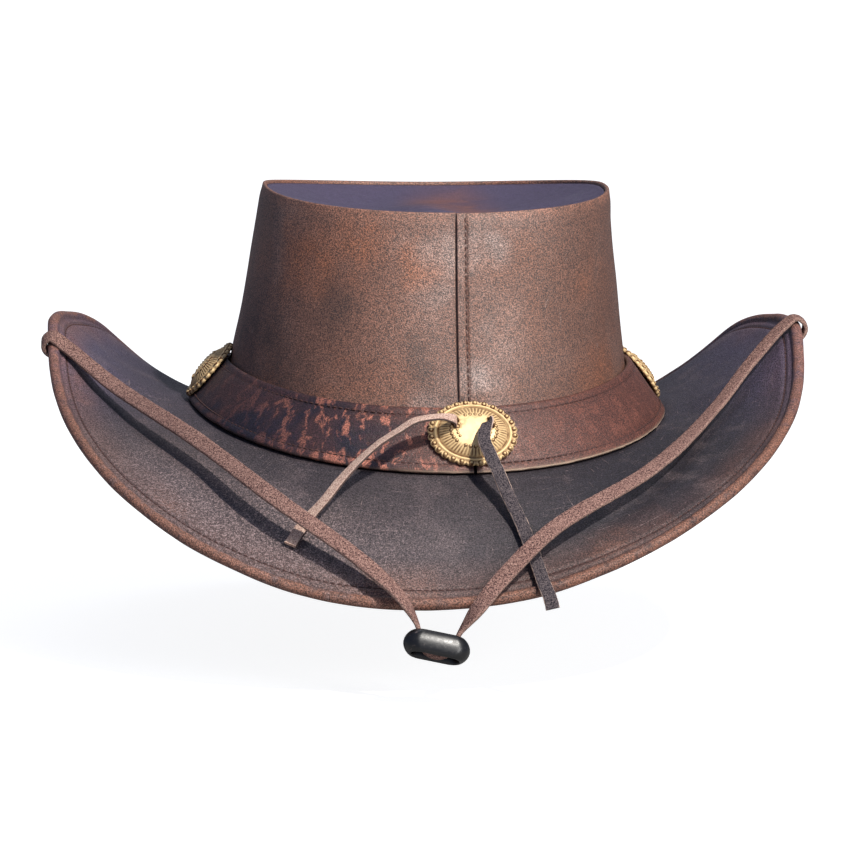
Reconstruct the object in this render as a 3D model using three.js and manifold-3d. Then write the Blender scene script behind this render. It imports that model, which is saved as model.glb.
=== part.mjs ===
// A leather bush hat: a tapered crown with a dished top, a curved brim with a rolled edge,
// a stitched hat band with three oval conchos, a lace tied through the back concho, and a
// chin strap whose two sides run out under the brim, fold over its tips and meet in a slider
// behind the hat.
//
// Millimetres. +Z is up, +Y is the wearer's front, so the back of the hat looks along -Y.
// The origin is the centre of the head opening, in the plane where the brim leaves the band.

import * as THREE from 'three';
import { mergeVertices } from 'three/addons/utils/BufferGeometryUtils.js';
import Module from 'manifold-3d';

const wasm = await Module();
wasm.setup();

// Driving dimensions

const CROWN_HEIGHT = 92.5;       // top edge of the crown wall above the base plane
const CROWN_TOP_WIDTH = 139.5;   // across the top edge, outside
const CROWN_TOP_LENGTH = 168;    // front to back over the top edge, outside
const CROWN_LEAN = 3;            // how far the top edge sits to the right of the foot
const CROWN_SADDLE = 2.6;        // rise of the top edge at the sides, dip at front and back
const CROWN_TILT = 1.5;          // front of the top edge above its middle height, back below it
const CROWN_LEATHER = 1.8;       // thickness of the crown wall

const BAND_LINE_WIDTH = 160;     // outside of the crown wall at the band's upper edge
const BAND_LINE_LENGTH = 196;
const BAND_LINE_HEIGHT = 19.5;   // the band's upper edge above the base plane
const BAND_LINE_SADDLE = 5;

const SEAM_WIDTH = 176;          // outside of the crown's foot, where it is sewn to the brim
const SEAM_LENGTH = 211;
const SEAM_HEIGHT = 3.5;
const SEAM_SADDLE = 3.5;

const FOOT_WIDTH = 191;          // where the band's lower edge meets the brim
const FOOT_LENGTH = 227;
const FOOT_DEPTH = 1.8;          // brim surface there, below the base plane
const FOOT_SADDLE = 7.2;
const FOOT_TILT = 1.5;           // the foot is this much lower at the right than at the middle

const BRIM_SPAN = 303;           // rim to rim across the turned up sides
const BRIM_LENGTH = 323;         // rim to rim, front to back
const BRIM_SHIFT = -1.2;         // the brim reaches this much further to the left
const BRIM_RISE = 41;            // rim above the base plane at the sides
const BRIM_BACK_DROP = 52;       // rim below the base plane at the back
const BRIM_FRONT_DROP = 36;
const BRIM_TURN = -4;            // degrees that the droop at the back is turned on the crown
const BRIM_ROLL = 3;             // how far the brim swells above a straight line, front and back
const BRIM_CUP = 6;              // how far it sags below a straight line at the turned up sides
const BRIM_LEATHER = 2;          // thickness of the brim leather
const BRIM_BEAD = 4.6;           // thickness of the rolled edge

const BAND_LEATHER = 1.8;
const BAND_END_GAP = 4;          // between the band's two ends, behind the back concho

const TOP_LEATHER = 1.8;
const TOP_SINK = 1;              // edge of the top panel below the edge of the wall
const TOP_DISH = 9;              // depth of the dish in the top panel
const TOP_RIDGE = 6;             // height of the soft ridge that runs in from the back
const TOP_RIDGE_WIDTH = 30;

const CONCHO_LENGTH = 35;        // along the band
const CONCHO_WIDTH = 27.5;       // across the band
const CONCHO_HEIGHT = 4.6;       // crown of the dome above the band
const CONCHO_METAL = 1.3;
const CONCHO_SCALLOPS = 28;
const CONCHO_FOOT = 1.9;         // the back one's lower edge above the band's lower edge
const SIDE_CONCHO_FOOT = 0.5;    // and that of the side ones
const SIDE_CONCHO_TURN = 96;     // degrees from the back one to each side one
const CONCHO_ANGLE = -84.5;      // degrees round the band of the back concho
const SLOT_SPACING = 13.6;       // between the two slots of the back concho
const SLOT_HEIGHT = 5.4;
const SLOT_WIDTH = 2.8;
const SLOT_RAISE = 3;            // slots above the middle of the concho

const SLIDER_LENGTH = 25;
const SLIDER_DEPTH = 11.5;
const SLIDER_HEIGHT = 9;
const SLIDER_WALL = 3;           // between the outside and the slot
const SLIDER_TILT = 12;          // degrees, the left end higher
const SLIDER_PITCH = 27;         // degrees, the lower face turned to the back
const SLIDER_PLACE = [-7.5, -168, -65.5];

const STRAP_WIDTH = 6.4;
const STRAP_SQUEEZED = 4.4;      // its width inside the slider
const STRAP_SQUEEZE_FROM = 9;    // from the slider's middle to where it starts to widen
const STRAP_SQUEEZE_TO = 20;     // and to where it is full width again
const STRAP_LEATHER = 1.8;
const LACE_WIDTH = 4.4;
const LACE_LEATHER = 1.2;

const SEAT_GAP = 0.3;            // clearance between pieces that touch

// How finely the shells are divided round the hat
const AROUND = 64;

const DEGREE = Math.PI / 180;

// Squareness of the ovals: 2 is an ellipse, more has fuller corners
const CROWN_TOP_POWER = 2.4;
const HEAD_POWER = 2.1;
const BRIM_POWER = 2.35;

// The crown wall from the band's upper edge to the top edge.
// share: place between the two; out: swell beyond a straight taper, as a share of the height.
const WALL_ROWS = [
  { share: 0.0, out: 0.0 },
  { share: 0.3, out: -0.004 },
  { share: 0.65, out: -0.001 },
  { share: 0.93, out: 0.004 },
];

// Height of the rim against the angle from the middle of the back or of the front:
// 0 is the full drop and 1 is the full rise.
const RIM_ROWS = [
  { angle: 0, back: 0.0, front: 0.0 },
  { angle: 15, back: 0.045, front: 0.08 },
  { angle: 30, back: 0.195, front: 0.28 },
  { angle: 45, back: 0.395, front: 0.58 },
  { angle: 60, back: 0.6, front: 0.89 },
  { angle: 75, back: 0.79, front: 0.985 },
  { angle: 90, back: 1.0, front: 1.0 },
];

// The brim from the band's lower edge to the rolled edge: share of the way and of the swell
const BRIM_ROWS = [
  { share: 0.0, swell: 0.0 },
  { share: 0.22, swell: 0.65 },
  { share: 0.45, swell: 1.0 },
  { share: 0.7, swell: 0.8 },
  { share: 0.9, swell: 0.3 },
];

// The concho from its edge to its middle, as shares of the radius and of the full height
const CONCHO_FACE = [
  { radius: 1.0, height: 0.16 },
  { radius: 0.93, height: 0.36 },
  { radius: 0.82, height: 0.3 },
  { radius: 0.76, height: 0.5 },
  { radius: 0.52, height: 0.86 },
  { radius: 0.25, height: 0.97 },
];
const CONCHO_BACK = [
  { radius: 0.4, height: 0.97 },
  { radius: 0.84, height: 0.3 },
];

// The middle line of the chin strap: from the middle of the front, inside the crown, round the
// left side, out under the brim, over its left tip, down to the slider, and back on the right.
// fx, fy and fz point away from the leather that the strap's flat back lies against.
const STRAP_ROUTE = [
  { x: -0.3, y: 98, z: 6, fx: 0, fy: -0.9, fz: -0.4 },
  { x: -44, y: 83.5, z: 8, fx: 0.4, fy: -0.8, fz: -0.4 },
  { x: -75.5, y: 40, z: 10, fx: 0.8, fy: -0.4, fz: -0.4 },
  { x: -82, y: 12, z: 11, fx: 0.9, fy: 0, fz: -0.4 },
  { x: -84.5, y: 2, z: 5.5, fx: 0.9, fy: 0, fz: -0.5 },
  { x: -91, y: -1, z: 1.5, fx: 0.3, fy: 0, fz: -0.9 },
  { x: -120, y: -3, z: 9.5, fx: -0.4, fy: 0.1, fz: -0.9 },
  { x: -147, y: -8, z: 25.5, fx: -0.5, fy: 0.4, fz: -0.7 },
  { x: -154.3, y: -10.2, z: 29.5, fx: -0.8, fy: 0.3, fz: -0.5 },
  { x: -155, y: -12, z: 32.5, fx: -0.9, fy: -0.2, fz: 0.3 },
  { x: -152, y: -13.5, z: 35, fx: -0.1, fy: -0.5, fz: 0.8 },
  { x: -146, y: -15, z: 31.1, fx: 0.1, fy: -0.6, fz: 0.8 },
  { x: -127.9, y: -33, z: 18.1, fx: -0.1, fy: -0.6, fz: 0.8 },
  { x: -93.6, y: -92, z: 1.7, fx: -0.3, fy: -0.6, fz: 0.8 },
  { x: -65.7, y: -134.5, z: -14.8, fx: -0.2, fy: -0.6, fz: 0.8 },
  { x: -34.2, y: -155.5, z: -35.6, fx: 0.1, fy: -0.7, fz: 0.7 },
  { x: -20.4, y: -164.3, z: -47.8, fx: 0.6, fy: -0.5, fz: 0.5 },
  { x: -14.5, y: -164.9, z: -57.7, fx: 0.9, fy: -0.1, fz: 0.2 },
  { x: -12.6, y: -168.7, z: -65.7, fx: 0.8, fy: 0.3, fz: 0.5 },
  { x: -8.1, y: -169.6, z: -68.6, fx: 0.2, fy: 0.5, fz: 0.9 },
  { x: -2.9, y: -168.7, z: -67.8, fx: -0.6, fy: 0.3, fz: 0.7 },
  { x: 1.4, y: -164.7, z: -60.8, fx: -0.9, fy: 0, fz: 0.3 },
  { x: 8.9, y: -165.5, z: -50.3, fx: -0.5, fy: -0.7, fz: 0.5 },
  { x: 17.8, y: -160.5, z: -40.7, fx: -0.2, fy: -0.8, fz: 0.6 },
  { x: 36.7, y: -150.5, z: -24.6, fx: -0.1, fy: -0.7, fz: 0.7 },
  { x: 76.6, y: -117.5, z: -7.1, fx: 0, fy: -0.3, fz: 0.9 },
  { x: 111.8, y: -50.9, z: 10, fx: -0.5, fy: -0.5, fz: 0.7 },
  { x: 129.4, y: -23.9, z: 24.9, fx: -0.6, fy: -0.5, fz: 0.6 },
  { x: 143.7, y: -15, z: 38.7, fx: -0.6, fy: -0.4, fz: 0.7 },
  { x: 149.3, y: -13.3, z: 42.2, fx: 0, fy: -0.2, fz: 1 },
  { x: 153, y: -12.8, z: 39.7, fx: 0.9, fy: -0.1, fz: 0.4 },
  { x: 152.8, y: -12.2, z: 36, fx: 0.9, fy: 0.1, fz: -0.4 },
  { x: 145.5, y: -11.5, z: 29.5, fx: 0.7, fy: 0.1, fz: -0.7 },
  { x: 120, y: -10, z: 9.5, fx: 0.4, fy: 0, fz: -0.9 },
  { x: 91, y: -8.5, z: -0.5, fx: -0.3, fy: 0, fz: -0.9 },
  { x: 84.5, y: -5, z: 4.5, fx: -0.9, fy: 0, fz: -0.5 },
  { x: 82, y: 6, z: 11, fx: -0.9, fy: 0, fz: -0.4 },
  { x: 75.5, y: 40, z: 10, fx: -0.8, fy: -0.4, fz: -0.4 },
  { x: 44, y: 83.5, z: 8, fx: -0.4, fy: -0.8, fz: -0.4 },
  { x: 0.3, y: 98, z: 6, fx: 0, fy: -0.9, fz: -0.4 },
];

// The two ends of the lace, from behind the back concho out through its slots.
const LACE_LEFT_ROUTE = [
  { x: 9.9, y: -105.7, z: 9.1, fx: 0.1, fy: -0.8, fz: 0.5 },
  { x: 6.3, y: -106, z: 9.1, fx: 0.1, fy: -0.8, fz: 0.5 },
  { x: 4.1, y: -106.9, z: 9.5, fx: 0.8, fy: -0.5, fz: 0.4 },
  { x: 3.6, y: -108.3, z: 10.4, fx: 1, fy: 0.1, fz: 0 },
  { x: 3.4, y: -109.9, z: 11.5, fx: 0.9, fy: -0.4, fz: 0.2 },
  { x: 1.9, y: -112.5, z: 12.6, fx: 0.4, fy: -0.6, fz: 0.7 },
  { x: -3, y: -115, z: 13.5, fx: 0, fy: -0.3, fz: 0.9 },
  { x: -12.5, y: -117.5, z: 12.3, fx: 0, fy: -0.2, fz: 1 },
  { x: -18, y: -119, z: 9.2, fx: -0.2, fy: -0.2, fz: 1 },
  { x: -26, y: -121, z: 4.4, fx: -0.3, fy: -0.2, fz: 0.9 },
  { x: -33.5, y: -123.5, z: -1.7, fx: -0.3, fy: -0.2, fz: 0.9 },
  { x: -41, y: -127, z: -9, fx: -0.3, fy: -0.3, fz: 0.9 },
  { x: -47, y: -130, z: -16, fx: -0.3, fy: -0.4, fz: 0.9 },
  { x: -53.5, y: -132, z: -23, fx: -0.2, fy: -0.5, fz: 0.8 },
  { x: -60.5, y: -139.5, z: -31.5, fx: -0.1, fy: -0.6, fz: 0.8 },
];
const LACE_RIGHT_ROUTE = [
  { x: 10.5, y: -105.6, z: 9.1, fx: 0.1, fy: -0.8, fz: 0.5 },
  { x: 14.1, y: -105.2, z: 9.1, fx: 0.1, fy: -0.8, fz: 0.5 },
  { x: 16.4, y: -105.7, z: 9.5, fx: -0.6, fy: -0.7, fz: 0.4 },
  { x: 17.2, y: -107, z: 10.3, fx: -1, fy: -0.1, fz: 0 },
  { x: 16.9, y: -108.7, z: 11.1, fx: -0.9, fy: -0.4, fz: 0.2 },
  { x: 15.9, y: -111.4, z: 11, fx: -0.6, fy: -0.7, fz: 0.4 },
  { x: 14.6, y: -114.1, z: 9.1, fx: -0.1, fy: -0.8, fz: 0.6 },
  { x: 13.8, y: -117.6, z: 5.2, fx: 0.1, fy: -0.8, fz: 0.5 },
  { x: 15.7, y: -122, z: 0, fx: 0.1, fy: -0.8, fz: 0.5 },
  { x: 18.4, y: -126, z: -6, fx: 0.1, fy: -0.8, fz: 0.5 },
  { x: 21.8, y: -131, z: -14.5, fx: 0, fy: -0.7, fz: 0.6 },
  { x: 25.8, y: -137.5, z: -22.8, fx: 0, fy: -0.6, fz: 0.8 },
  { x: 28.8, y: -146, z: -31, fx: 0, fy: -0.6, fz: 0.8 },
  { x: 31, y: -153, z: -37.5, fx: 0, fy: -0.7, fz: 0.7 },
  { x: 33, y: -160, z: -44, fx: 0, fy: -0.7, fz: 0.7 },
  { x: 34.6, y: -163.7, z: -48, fx: 0, fy: -0.8, fz: 0.5 },
  { x: 35.6, y: -165.5, z: -52, fx: 0, fy: -0.9, fz: 0.3 },
];

// Shape tools

// Radius of an oval at a polar angle, as a point in the plane.
function oval(angle, width, length, power) {
  const across = Math.abs(2 * Math.cos(angle) / width) ** power;
  const along = Math.abs(2 * Math.sin(angle) / length) ** power;
  const radius = (across + along) ** (-1 / power);
  return new THREE.Vector2(radius * Math.cos(angle), radius * Math.sin(angle));
}

// Smooth value between the rows of a table, level at both of its ends.
function fromRows(rows, key, value, place) {
  let index = 0;
  while (index < rows.length - 2 && place > rows[index + 1][key]) {
    index += 1;
  }
  const from = rows[index];
  const to = rows[index + 1];
  const slope = (row) => {
    const before = rows[row - 1];
    const after = rows[row + 1];
    if (!before || !after) {
      return 0;
    }
    return (after[value] - before[value]) / (after[key] - before[key]);
  };
  const span = to[key] - from[key];
  const t = (place - from[key]) / span;
  const h1 = t * t * (3 - 2 * t);
  const h2 = t * (1 - t) * (1 - t);
  const h3 = t * t * (t - 1);
  return from[value] * (1 - h1) + to[value] * h1 + span * (slope(index) * h2 + slope(index + 1) * h3);
}

// A closed body from a run of sections, each a ring of the same number of points.
// A closed run joins its last section to its first; an open run gets a flat cap at each end.
function loft(sections, closed) {
  const count = sections[0].length;
  const positions = sections.flat().flatMap((point) => point.toArray());
  const index = [];
  const runs = closed ? sections.length : sections.length - 1;
  for (let i = 0; i < runs; i += 1) {
    const here = i * count;
    const next = ((i + 1) % sections.length) * count;
    for (let j = 0; j < count; j += 1) {
      const k = (j + 1) % count;
      index.push(here + j, next + j, next + k, here + j, next + k, here + k);
    }
  }
  if (!closed) {
    const last = (sections.length - 1) * count;
    for (let j = 1; j < count - 1; j += 1) {
      index.push(0, j, j + 1);
      index.push(last, last + j + 1, last + j);
    }
  }
  return outward(positions, index);
}

// Geometry of a closed body with its faces turned outwards.
function outward(positions, index) {
  let volume = 0;
  const corner = [new THREE.Vector3(), new THREE.Vector3(), new THREE.Vector3()];
  for (let i = 0; i < index.length; i += 3) {
    corner.forEach((point, j) => point.fromArray(positions, 3 * index[i + j]));
    volume += corner[0].dot(corner[1].clone().cross(corner[2]));
  }
  if (volume < 0) {
    index.reverse();
  }
  const geometry = new THREE.BufferGeometry();
  geometry.setAttribute('position', new THREE.Float32BufferAttribute(positions, 3));
  geometry.setIndex(index);
  return geometry;
}

// The angles at which the shells are divided
function angles(count = AROUND) {
  return Array.from({ length: count }, (_, i) => 2 * Math.PI * i / count);
}

function mesh(name, geometry, color, roughness, metalness = 0) {
  const shown = geometry.index ? geometry.toNonIndexed() : geometry;
  shown.computeVertexNormals();
  const made = new THREE.Mesh(shown, new THREE.MeshStandardMaterial({ color, roughness, metalness }));
  made.name = name;
  return made;
}

// The outer surface of the hat, as loops round it at a polar angle

function bandLine(angle) {
  const p = oval(angle, BAND_LINE_WIDTH, BAND_LINE_LENGTH, HEAD_POWER);
  return new THREE.Vector3(p.x, p.y, BAND_LINE_HEIGHT + BAND_LINE_SADDLE * Math.cos(2 * angle));
}

function topEdge(angle) {
  const p = oval(angle, CROWN_TOP_WIDTH, CROWN_TOP_LENGTH, CROWN_TOP_POWER);
  const height = CROWN_HEIGHT + CROWN_SADDLE * Math.cos(2 * angle) + CROWN_TILT * Math.sin(angle);
  return new THREE.Vector3(p.x + CROWN_LEAN, p.y, height);
}

function seam(angle) {
  const p = oval(angle, SEAM_WIDTH, SEAM_LENGTH, HEAD_POWER);
  return new THREE.Vector3(p.x, p.y, SEAM_HEIGHT + SEAM_SADDLE * Math.cos(2 * angle));
}

function foot(angle) {
  const p = oval(angle, FOOT_WIDTH, FOOT_LENGTH, HEAD_POWER);
  const height = FOOT_SADDLE * Math.cos(2 * angle) - FOOT_TILT * Math.cos(angle) - FOOT_DEPTH;
  return new THREE.Vector3(p.x, p.y, height);
}

// How far a place is to the front of the brim, from -1 to 1, with the turn of its bend.
function frontness(angle) {
  return Math.sin(angle - BRIM_TURN * DEGREE * (3 - Math.sin(angle)) / 4);
}

// Share of the rim's rise: 0 at front and back, 1 at the sides
function rimRise(angle) {
  const front = frontness(angle);
  const fromMiddle = Math.acos(Math.abs(front)) / DEGREE;
  return fromRows(RIM_ROWS, 'angle', front < 0 ? 'back' : 'front', fromMiddle);
}

function rim(angle) {
  const p = oval(angle, BRIM_SPAN, BRIM_LENGTH, BRIM_POWER);
  const drop = frontness(angle) < 0 ? BRIM_BACK_DROP : BRIM_FRONT_DROP;
  return new THREE.Vector3(p.x + BRIM_SHIFT, p.y, -drop + (BRIM_RISE + drop) * rimRise(angle));
}

// Upper surface of the brim: share 0 is the band's lower edge and 1 is the rim.
function brimSurface(angle, share) {
  const point = foot(angle).lerp(rim(angle), share);
  const swell = BRIM_ROLL * (1 - rimRise(angle)) - BRIM_CUP * rimRise(angle);
  point.z += swell * fromRows(BRIM_ROWS, 'share', 'swell', share);
  return point;
}

function wallSurface(angle, row) {
  const point = bandLine(angle).lerp(topEdge(angle), row.share);
  const out = row.out * CROWN_HEIGHT;
  return point.add(new THREE.Vector3(out * Math.cos(angle), out * Math.sin(angle), 0));
}

// Offsets each point of a line across a sheet by a thickness, square to the line and
// in the upright plane through the hat's axis. A positive thickness is outwards or up.
function offsetLine(points, angle, thickness) {
  const radial = new THREE.Vector3(Math.cos(angle), Math.sin(angle), 0);
  return points.map((point, i) => {
    const along = points[Math.min(i + 1, points.length - 1)].clone().sub(points[Math.max(i - 1, 0)]);
    const run = along.dot(radial);
    const size = Math.hypot(run, along.z);
    return point.clone()
      .addScaledVector(radial, -thickness * along.z / size)
      .add(new THREE.Vector3(0, 0, thickness * run / size));
  });
}

// Pieces

// The crown wall, from the seam at its foot to its rounded top edge.
function crownLine(angle) {
  return [seam(angle), ...WALL_ROWS.map((row) => wallSurface(angle, row)), topEdge(angle)];
}

function crownSide() {
  const sections = angles().map((angle) => {
    const outer = crownLine(angle).reverse();
    const inner = offsetLine(outer, angle, -CROWN_LEATHER).reverse();
    const crest = outer[0].clone().lerp(inner[inner.length - 1], 0.5);
    crest.z += CROWN_LEATHER * 0.35;
    return [...outer, ...inner, crest];
  });
  return mesh('crown_side', loft(sections, true), 0x4a2f24, 0.6);
}

// The dished top panel, inside the top edge of the wall.
function crownTop() {
  const panelEdge = (angle) => {
    const edge = topEdge(angle);
    const inset = CROWN_LEATHER + SEAT_GAP + 0.35;
    edge.x -= inset * Math.cos(angle);
    edge.y -= inset * Math.sin(angle);
    edge.z -= TOP_SINK;
    return edge;
  };
  const rings = [1, 0.94, 0.8, 0.6, 0.38, 0.18];
  const surface = (angle, ring) => {
    const edge = panelEdge(angle);
    const x = CROWN_LEAN + (edge.x - CROWN_LEAN) * ring;
    const y = edge.y * ring;
    const level = CROWN_HEIGHT - TOP_SINK;
    const ridge = Math.exp(-((2 * x / TOP_RIDGE_WIDTH) ** 2)) * Math.min(1, Math.max(0, 0.6 - y / CROWN_TOP_LENGTH));
    const sink = TOP_DISH * (1 - ring ** 3) - TOP_RIDGE * ridge * (1 - ring ** 8);
    return new THREE.Vector3(x, y, level + (edge.z - level) * ring - sink);
  };
  const around = angles(40);
  const positions = [];
  const index = [];
  const ringOf = (k) => 1 + k * around.length;
  const below = 1 + rings.length * around.length;
  const layers = [0, -TOP_LEATHER];
  const middle = surface(0, 0);
  layers.forEach((drop) => {
    positions.push(middle.x, middle.y, middle.z + drop);
    rings.slice().reverse().forEach((ring) => {
      around.forEach((angle) => {
        const point = surface(angle, ring);
        positions.push(point.x, point.y, point.z + drop);
      });
    });
  });
  for (let j = 0; j < around.length; j += 1) {
    const k = (j + 1) % around.length;
    index.push(0, ringOf(0) + j, ringOf(0) + k);
    index.push(below, below + ringOf(0) + k, below + ringOf(0) + j);
    for (let r = 0; r < rings.length - 1; r += 1) {
      const a = ringOf(r);
      const b = ringOf(r + 1);
      index.push(a + j, b + j, b + k, a + j, b + k, a + k);
      index.push(below + a + j, below + b + k, below + b + j, below + a + j, below + a + k, below + b + k);
    }
    const rimRing = ringOf(rings.length - 1);
    index.push(rimRing + j, below + rimRing + j, below + rimRing + k);
    index.push(rimRing + j, below + rimRing + k, rimRing + k);
  }
  return mesh('crown_top', outward(positions, index), 0x3c2b2c, 0.5);
}

// The brim, from its sewn inner edge to its rolled rim.
function brim() {
  const beadRadius = BRIM_BEAD / 2;
  const sections = angles().map((angle) => {
    const radial = new THREE.Vector3(Math.cos(angle), Math.sin(angle), 0);
    const inner = seam(angle).addScaledVector(radial, SEAT_GAP);
    const valley = seam(angle).lerp(foot(angle), 0.5);
    valley.z = Math.min(valley.z, foot(angle).z + 0.5) - 0.8;
    const line = [inner, valley, ...BRIM_ROWS.map((row) => brimSurface(angle, row.share))];
    const underside = offsetLine(line, angle, -BRIM_LEATHER);
    underside[0].copy(inner).z -= BRIM_LEATHER;
    const end = rim(angle);
    const slope = end.clone().sub(line[line.length - 1]);
    const out = radial.clone().multiplyScalar(slope.dot(radial)).add(new THREE.Vector3(0, 0, slope.z)).normalize();
    const up = radial.clone().multiplyScalar(-out.z).add(new THREE.Vector3(0, 0, out.dot(radial)));
    const bead = end.clone().addScaledVector(out, -beadRadius).addScaledVector(up, -BRIM_LEATHER / 2);
    const round = [150, 105, 55, 0, -55, -105, -150].map((turn) => bead.clone()
      .addScaledVector(out, beadRadius * Math.cos(turn * DEGREE))
      .addScaledVector(up, beadRadius * Math.sin(turn * DEGREE)));
    return [...line, ...round, ...underside.reverse()];
  });
  return mesh('brim', loft(sections, true), 0x3a2b2a, 0.55);
}

// The band bridges from the crown wall to the brim: its back face, from its upper edge down.
function bandBack(angle) {
  const wall = offsetLine([bandLine(angle), wallSurface(angle, WALL_ROWS[1])], angle, -SEAT_GAP - 0.3)[0];
  const brimTop = brimSurface(angle, 0);
  brimTop.z += SEAT_GAP + 0.3;
  const middle = wall.clone().lerp(brimTop, 0.5);
  return [wall, middle, brimTop];
}

// A point of the band's outer face: share 0 is its upper edge and 1 its lower edge.
function bandFace(angle, share) {
  const back = bandBack(angle);
  const face = offsetLine([...back].reverse(), angle, -BAND_LEATHER).reverse();
  return face[0].clone().lerp(face[2], share);
}

// Outward normal of the band's outer face
function bandNormal(angle) {
  const step = 0.02;
  const along = bandFace(angle + step, 0.5).sub(bandFace(angle - step, 0.5));
  const down = bandFace(angle, 1).sub(bandFace(angle, 0));
  return down.cross(along).normalize();
}

function hatBand() {
  const perimeter = Math.PI * (FOOT_WIDTH + FOOT_LENGTH) / 2;
  const half = Math.PI * BAND_END_GAP / perimeter;
  const start = CONCHO_ANGLE * DEGREE + half;
  const sweep = 2 * Math.PI - 2 * half;
  const sections = Array.from({ length: AROUND + 1 }, (_, i) => {
    const angle = start + sweep * i / AROUND;
    const back = bandBack(angle);
    const face = offsetLine([...back].reverse(), angle, -BAND_LEATHER);
    return [...back, ...face];
  });
  return mesh('hat_band', loft(sections, false), 0x5a2f26, 0.55);
}

// Conchos

function asManifold(geometry) {
  const vertProperties = new Float32Array(geometry.attributes.position.array);
  const triVerts = new Uint32Array(geometry.index.array);
  return new wasm.Manifold(new wasm.Mesh({ numProp: 3, vertProperties, triVerts }));
}

function fromManifold(solid) {
  const found = solid.getMesh();
  const geometry = new THREE.BufferGeometry();
  geometry.setAttribute('position', new THREE.Float32BufferAttribute(found.vertProperties, 3));
  geometry.setIndex(Array.from(found.triVerts));
  return geometry;
}

// A scalloped, domed oval plate, lying on the plane z = 0 with its face up.
function conchoPlate() {
  const count = 2 * CONCHO_SCALLOPS;
  const positions = [];
  const index = [];
  const ring = (radius, height, scalloped) => {
    for (let i = 0; i < count; i += 1) {
      const reach = radius * (scalloped && i % 2 ? 0.955 : 1);
      const angle = 2 * Math.PI * i / count;
      positions.push(reach * Math.cos(angle) * CONCHO_LENGTH / 2);
      positions.push(reach * Math.sin(angle) * CONCHO_WIDTH / 2);
      positions.push(height);
    }
  };
  const rings = [];
  CONCHO_BACK.forEach((row) => rings.push([row.radius, row.height * CONCHO_HEIGHT - CONCHO_METAL, false]));
  rings.push([0.97, 0, true]);
  CONCHO_FACE.forEach((row, i) => rings.push([row.radius, row.height * CONCHO_HEIGHT, i === 0]));
  positions.push(0, 0, CONCHO_BACK[0].height * CONCHO_HEIGHT - CONCHO_METAL);
  rings.forEach(([radius, height, scalloped]) => ring(radius, Math.max(0, height), scalloped));
  positions.push(0, 0, CONCHO_HEIGHT);
  const last = 1 + rings.length * count;
  for (let j = 0; j < count; j += 1) {
    const k = (j + 1) % count;
    index.push(0, 1 + k, 1 + j);
    for (let r = 0; r < rings.length - 1; r += 1) {
      const a = 1 + r * count;
      const b = a + count;
      index.push(a + j, a + k, b + k, a + j, b + k, b + j);
    }
    const a = last - count;
    index.push(a + j, a + k, last);
  }
  return outward(positions, index);
}

// The two slots of the back concho, as solids to cut with
function slots() {
  return [-1, 1].map((side) => {
    const box = new THREE.BoxGeometry(SLOT_WIDTH, SLOT_HEIGHT, 4 * CONCHO_HEIGHT);
    box.translate(side * SLOT_SPACING / 2, SLOT_RAISE, 0);
    box.deleteAttribute('normal');
    box.deleteAttribute('uv');
    return mergeVertices(box);
  });
}

// Frame of a concho on the band: x along the band, y up across it, z out of it
function conchoFrame(angle, foot) {
  const normal = bandNormal(angle);
  const up = bandFace(angle, 0).sub(bandFace(angle, 1)).normalize();
  const along = up.clone().cross(normal).normalize();
  const width = bandFace(angle, 0).distanceTo(bandFace(angle, 1));
  const place = 1 - (CONCHO_WIDTH / 2 + foot) / width;
  const seat = bandFace(angle, place).addScaledVector(normal, SEAT_GAP);
  return new THREE.Matrix4().makeBasis(along, up, normal).setPosition(seat);
}

function concho(name, angle, foot, slotted) {
  let solid = asManifold(conchoPlate());
  if (slotted) {
    slots().forEach((slot) => {
      solid = solid.subtract(asManifold(slot));
    });
  }
  const geometry = fromManifold(solid);
  geometry.applyMatrix4(conchoFrame(angle, foot));
  return mesh(name, geometry, 0xb08a3e, 0.35, 0.9);
}

// Strap and laces

// Where a thong is divided: two steps between rows that lie close, and else one step for
// every four widths.
function divisions(line, rows, width) {
  const places = [0];
  for (let i = 1; i < rows; i += 1) {
    const from = (i - 1) / (rows - 1);
    const to = i / (rows - 1);
    const run = line.getPoint(to).distanceTo(line.getPoint(from));
    const steps = Math.max(2, Math.round(run / (4 * width)));
    for (let j = 1; j <= steps; j += 1) {
      places.push(from + (to - from) * j / steps);
    }
  }
  return places;
}

// The strap's width where it passes a point: squeezed inside the slider.
function strapWidth(place) {
  const away = place.distanceTo(new THREE.Vector3(...SLIDER_PLACE));
  const free = THREE.MathUtils.smoothstep(away, STRAP_SQUEEZE_FROM, STRAP_SQUEEZE_TO);
  return STRAP_SQUEEZED + (STRAP_WIDTH - STRAP_SQUEEZED) * free;
}

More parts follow.
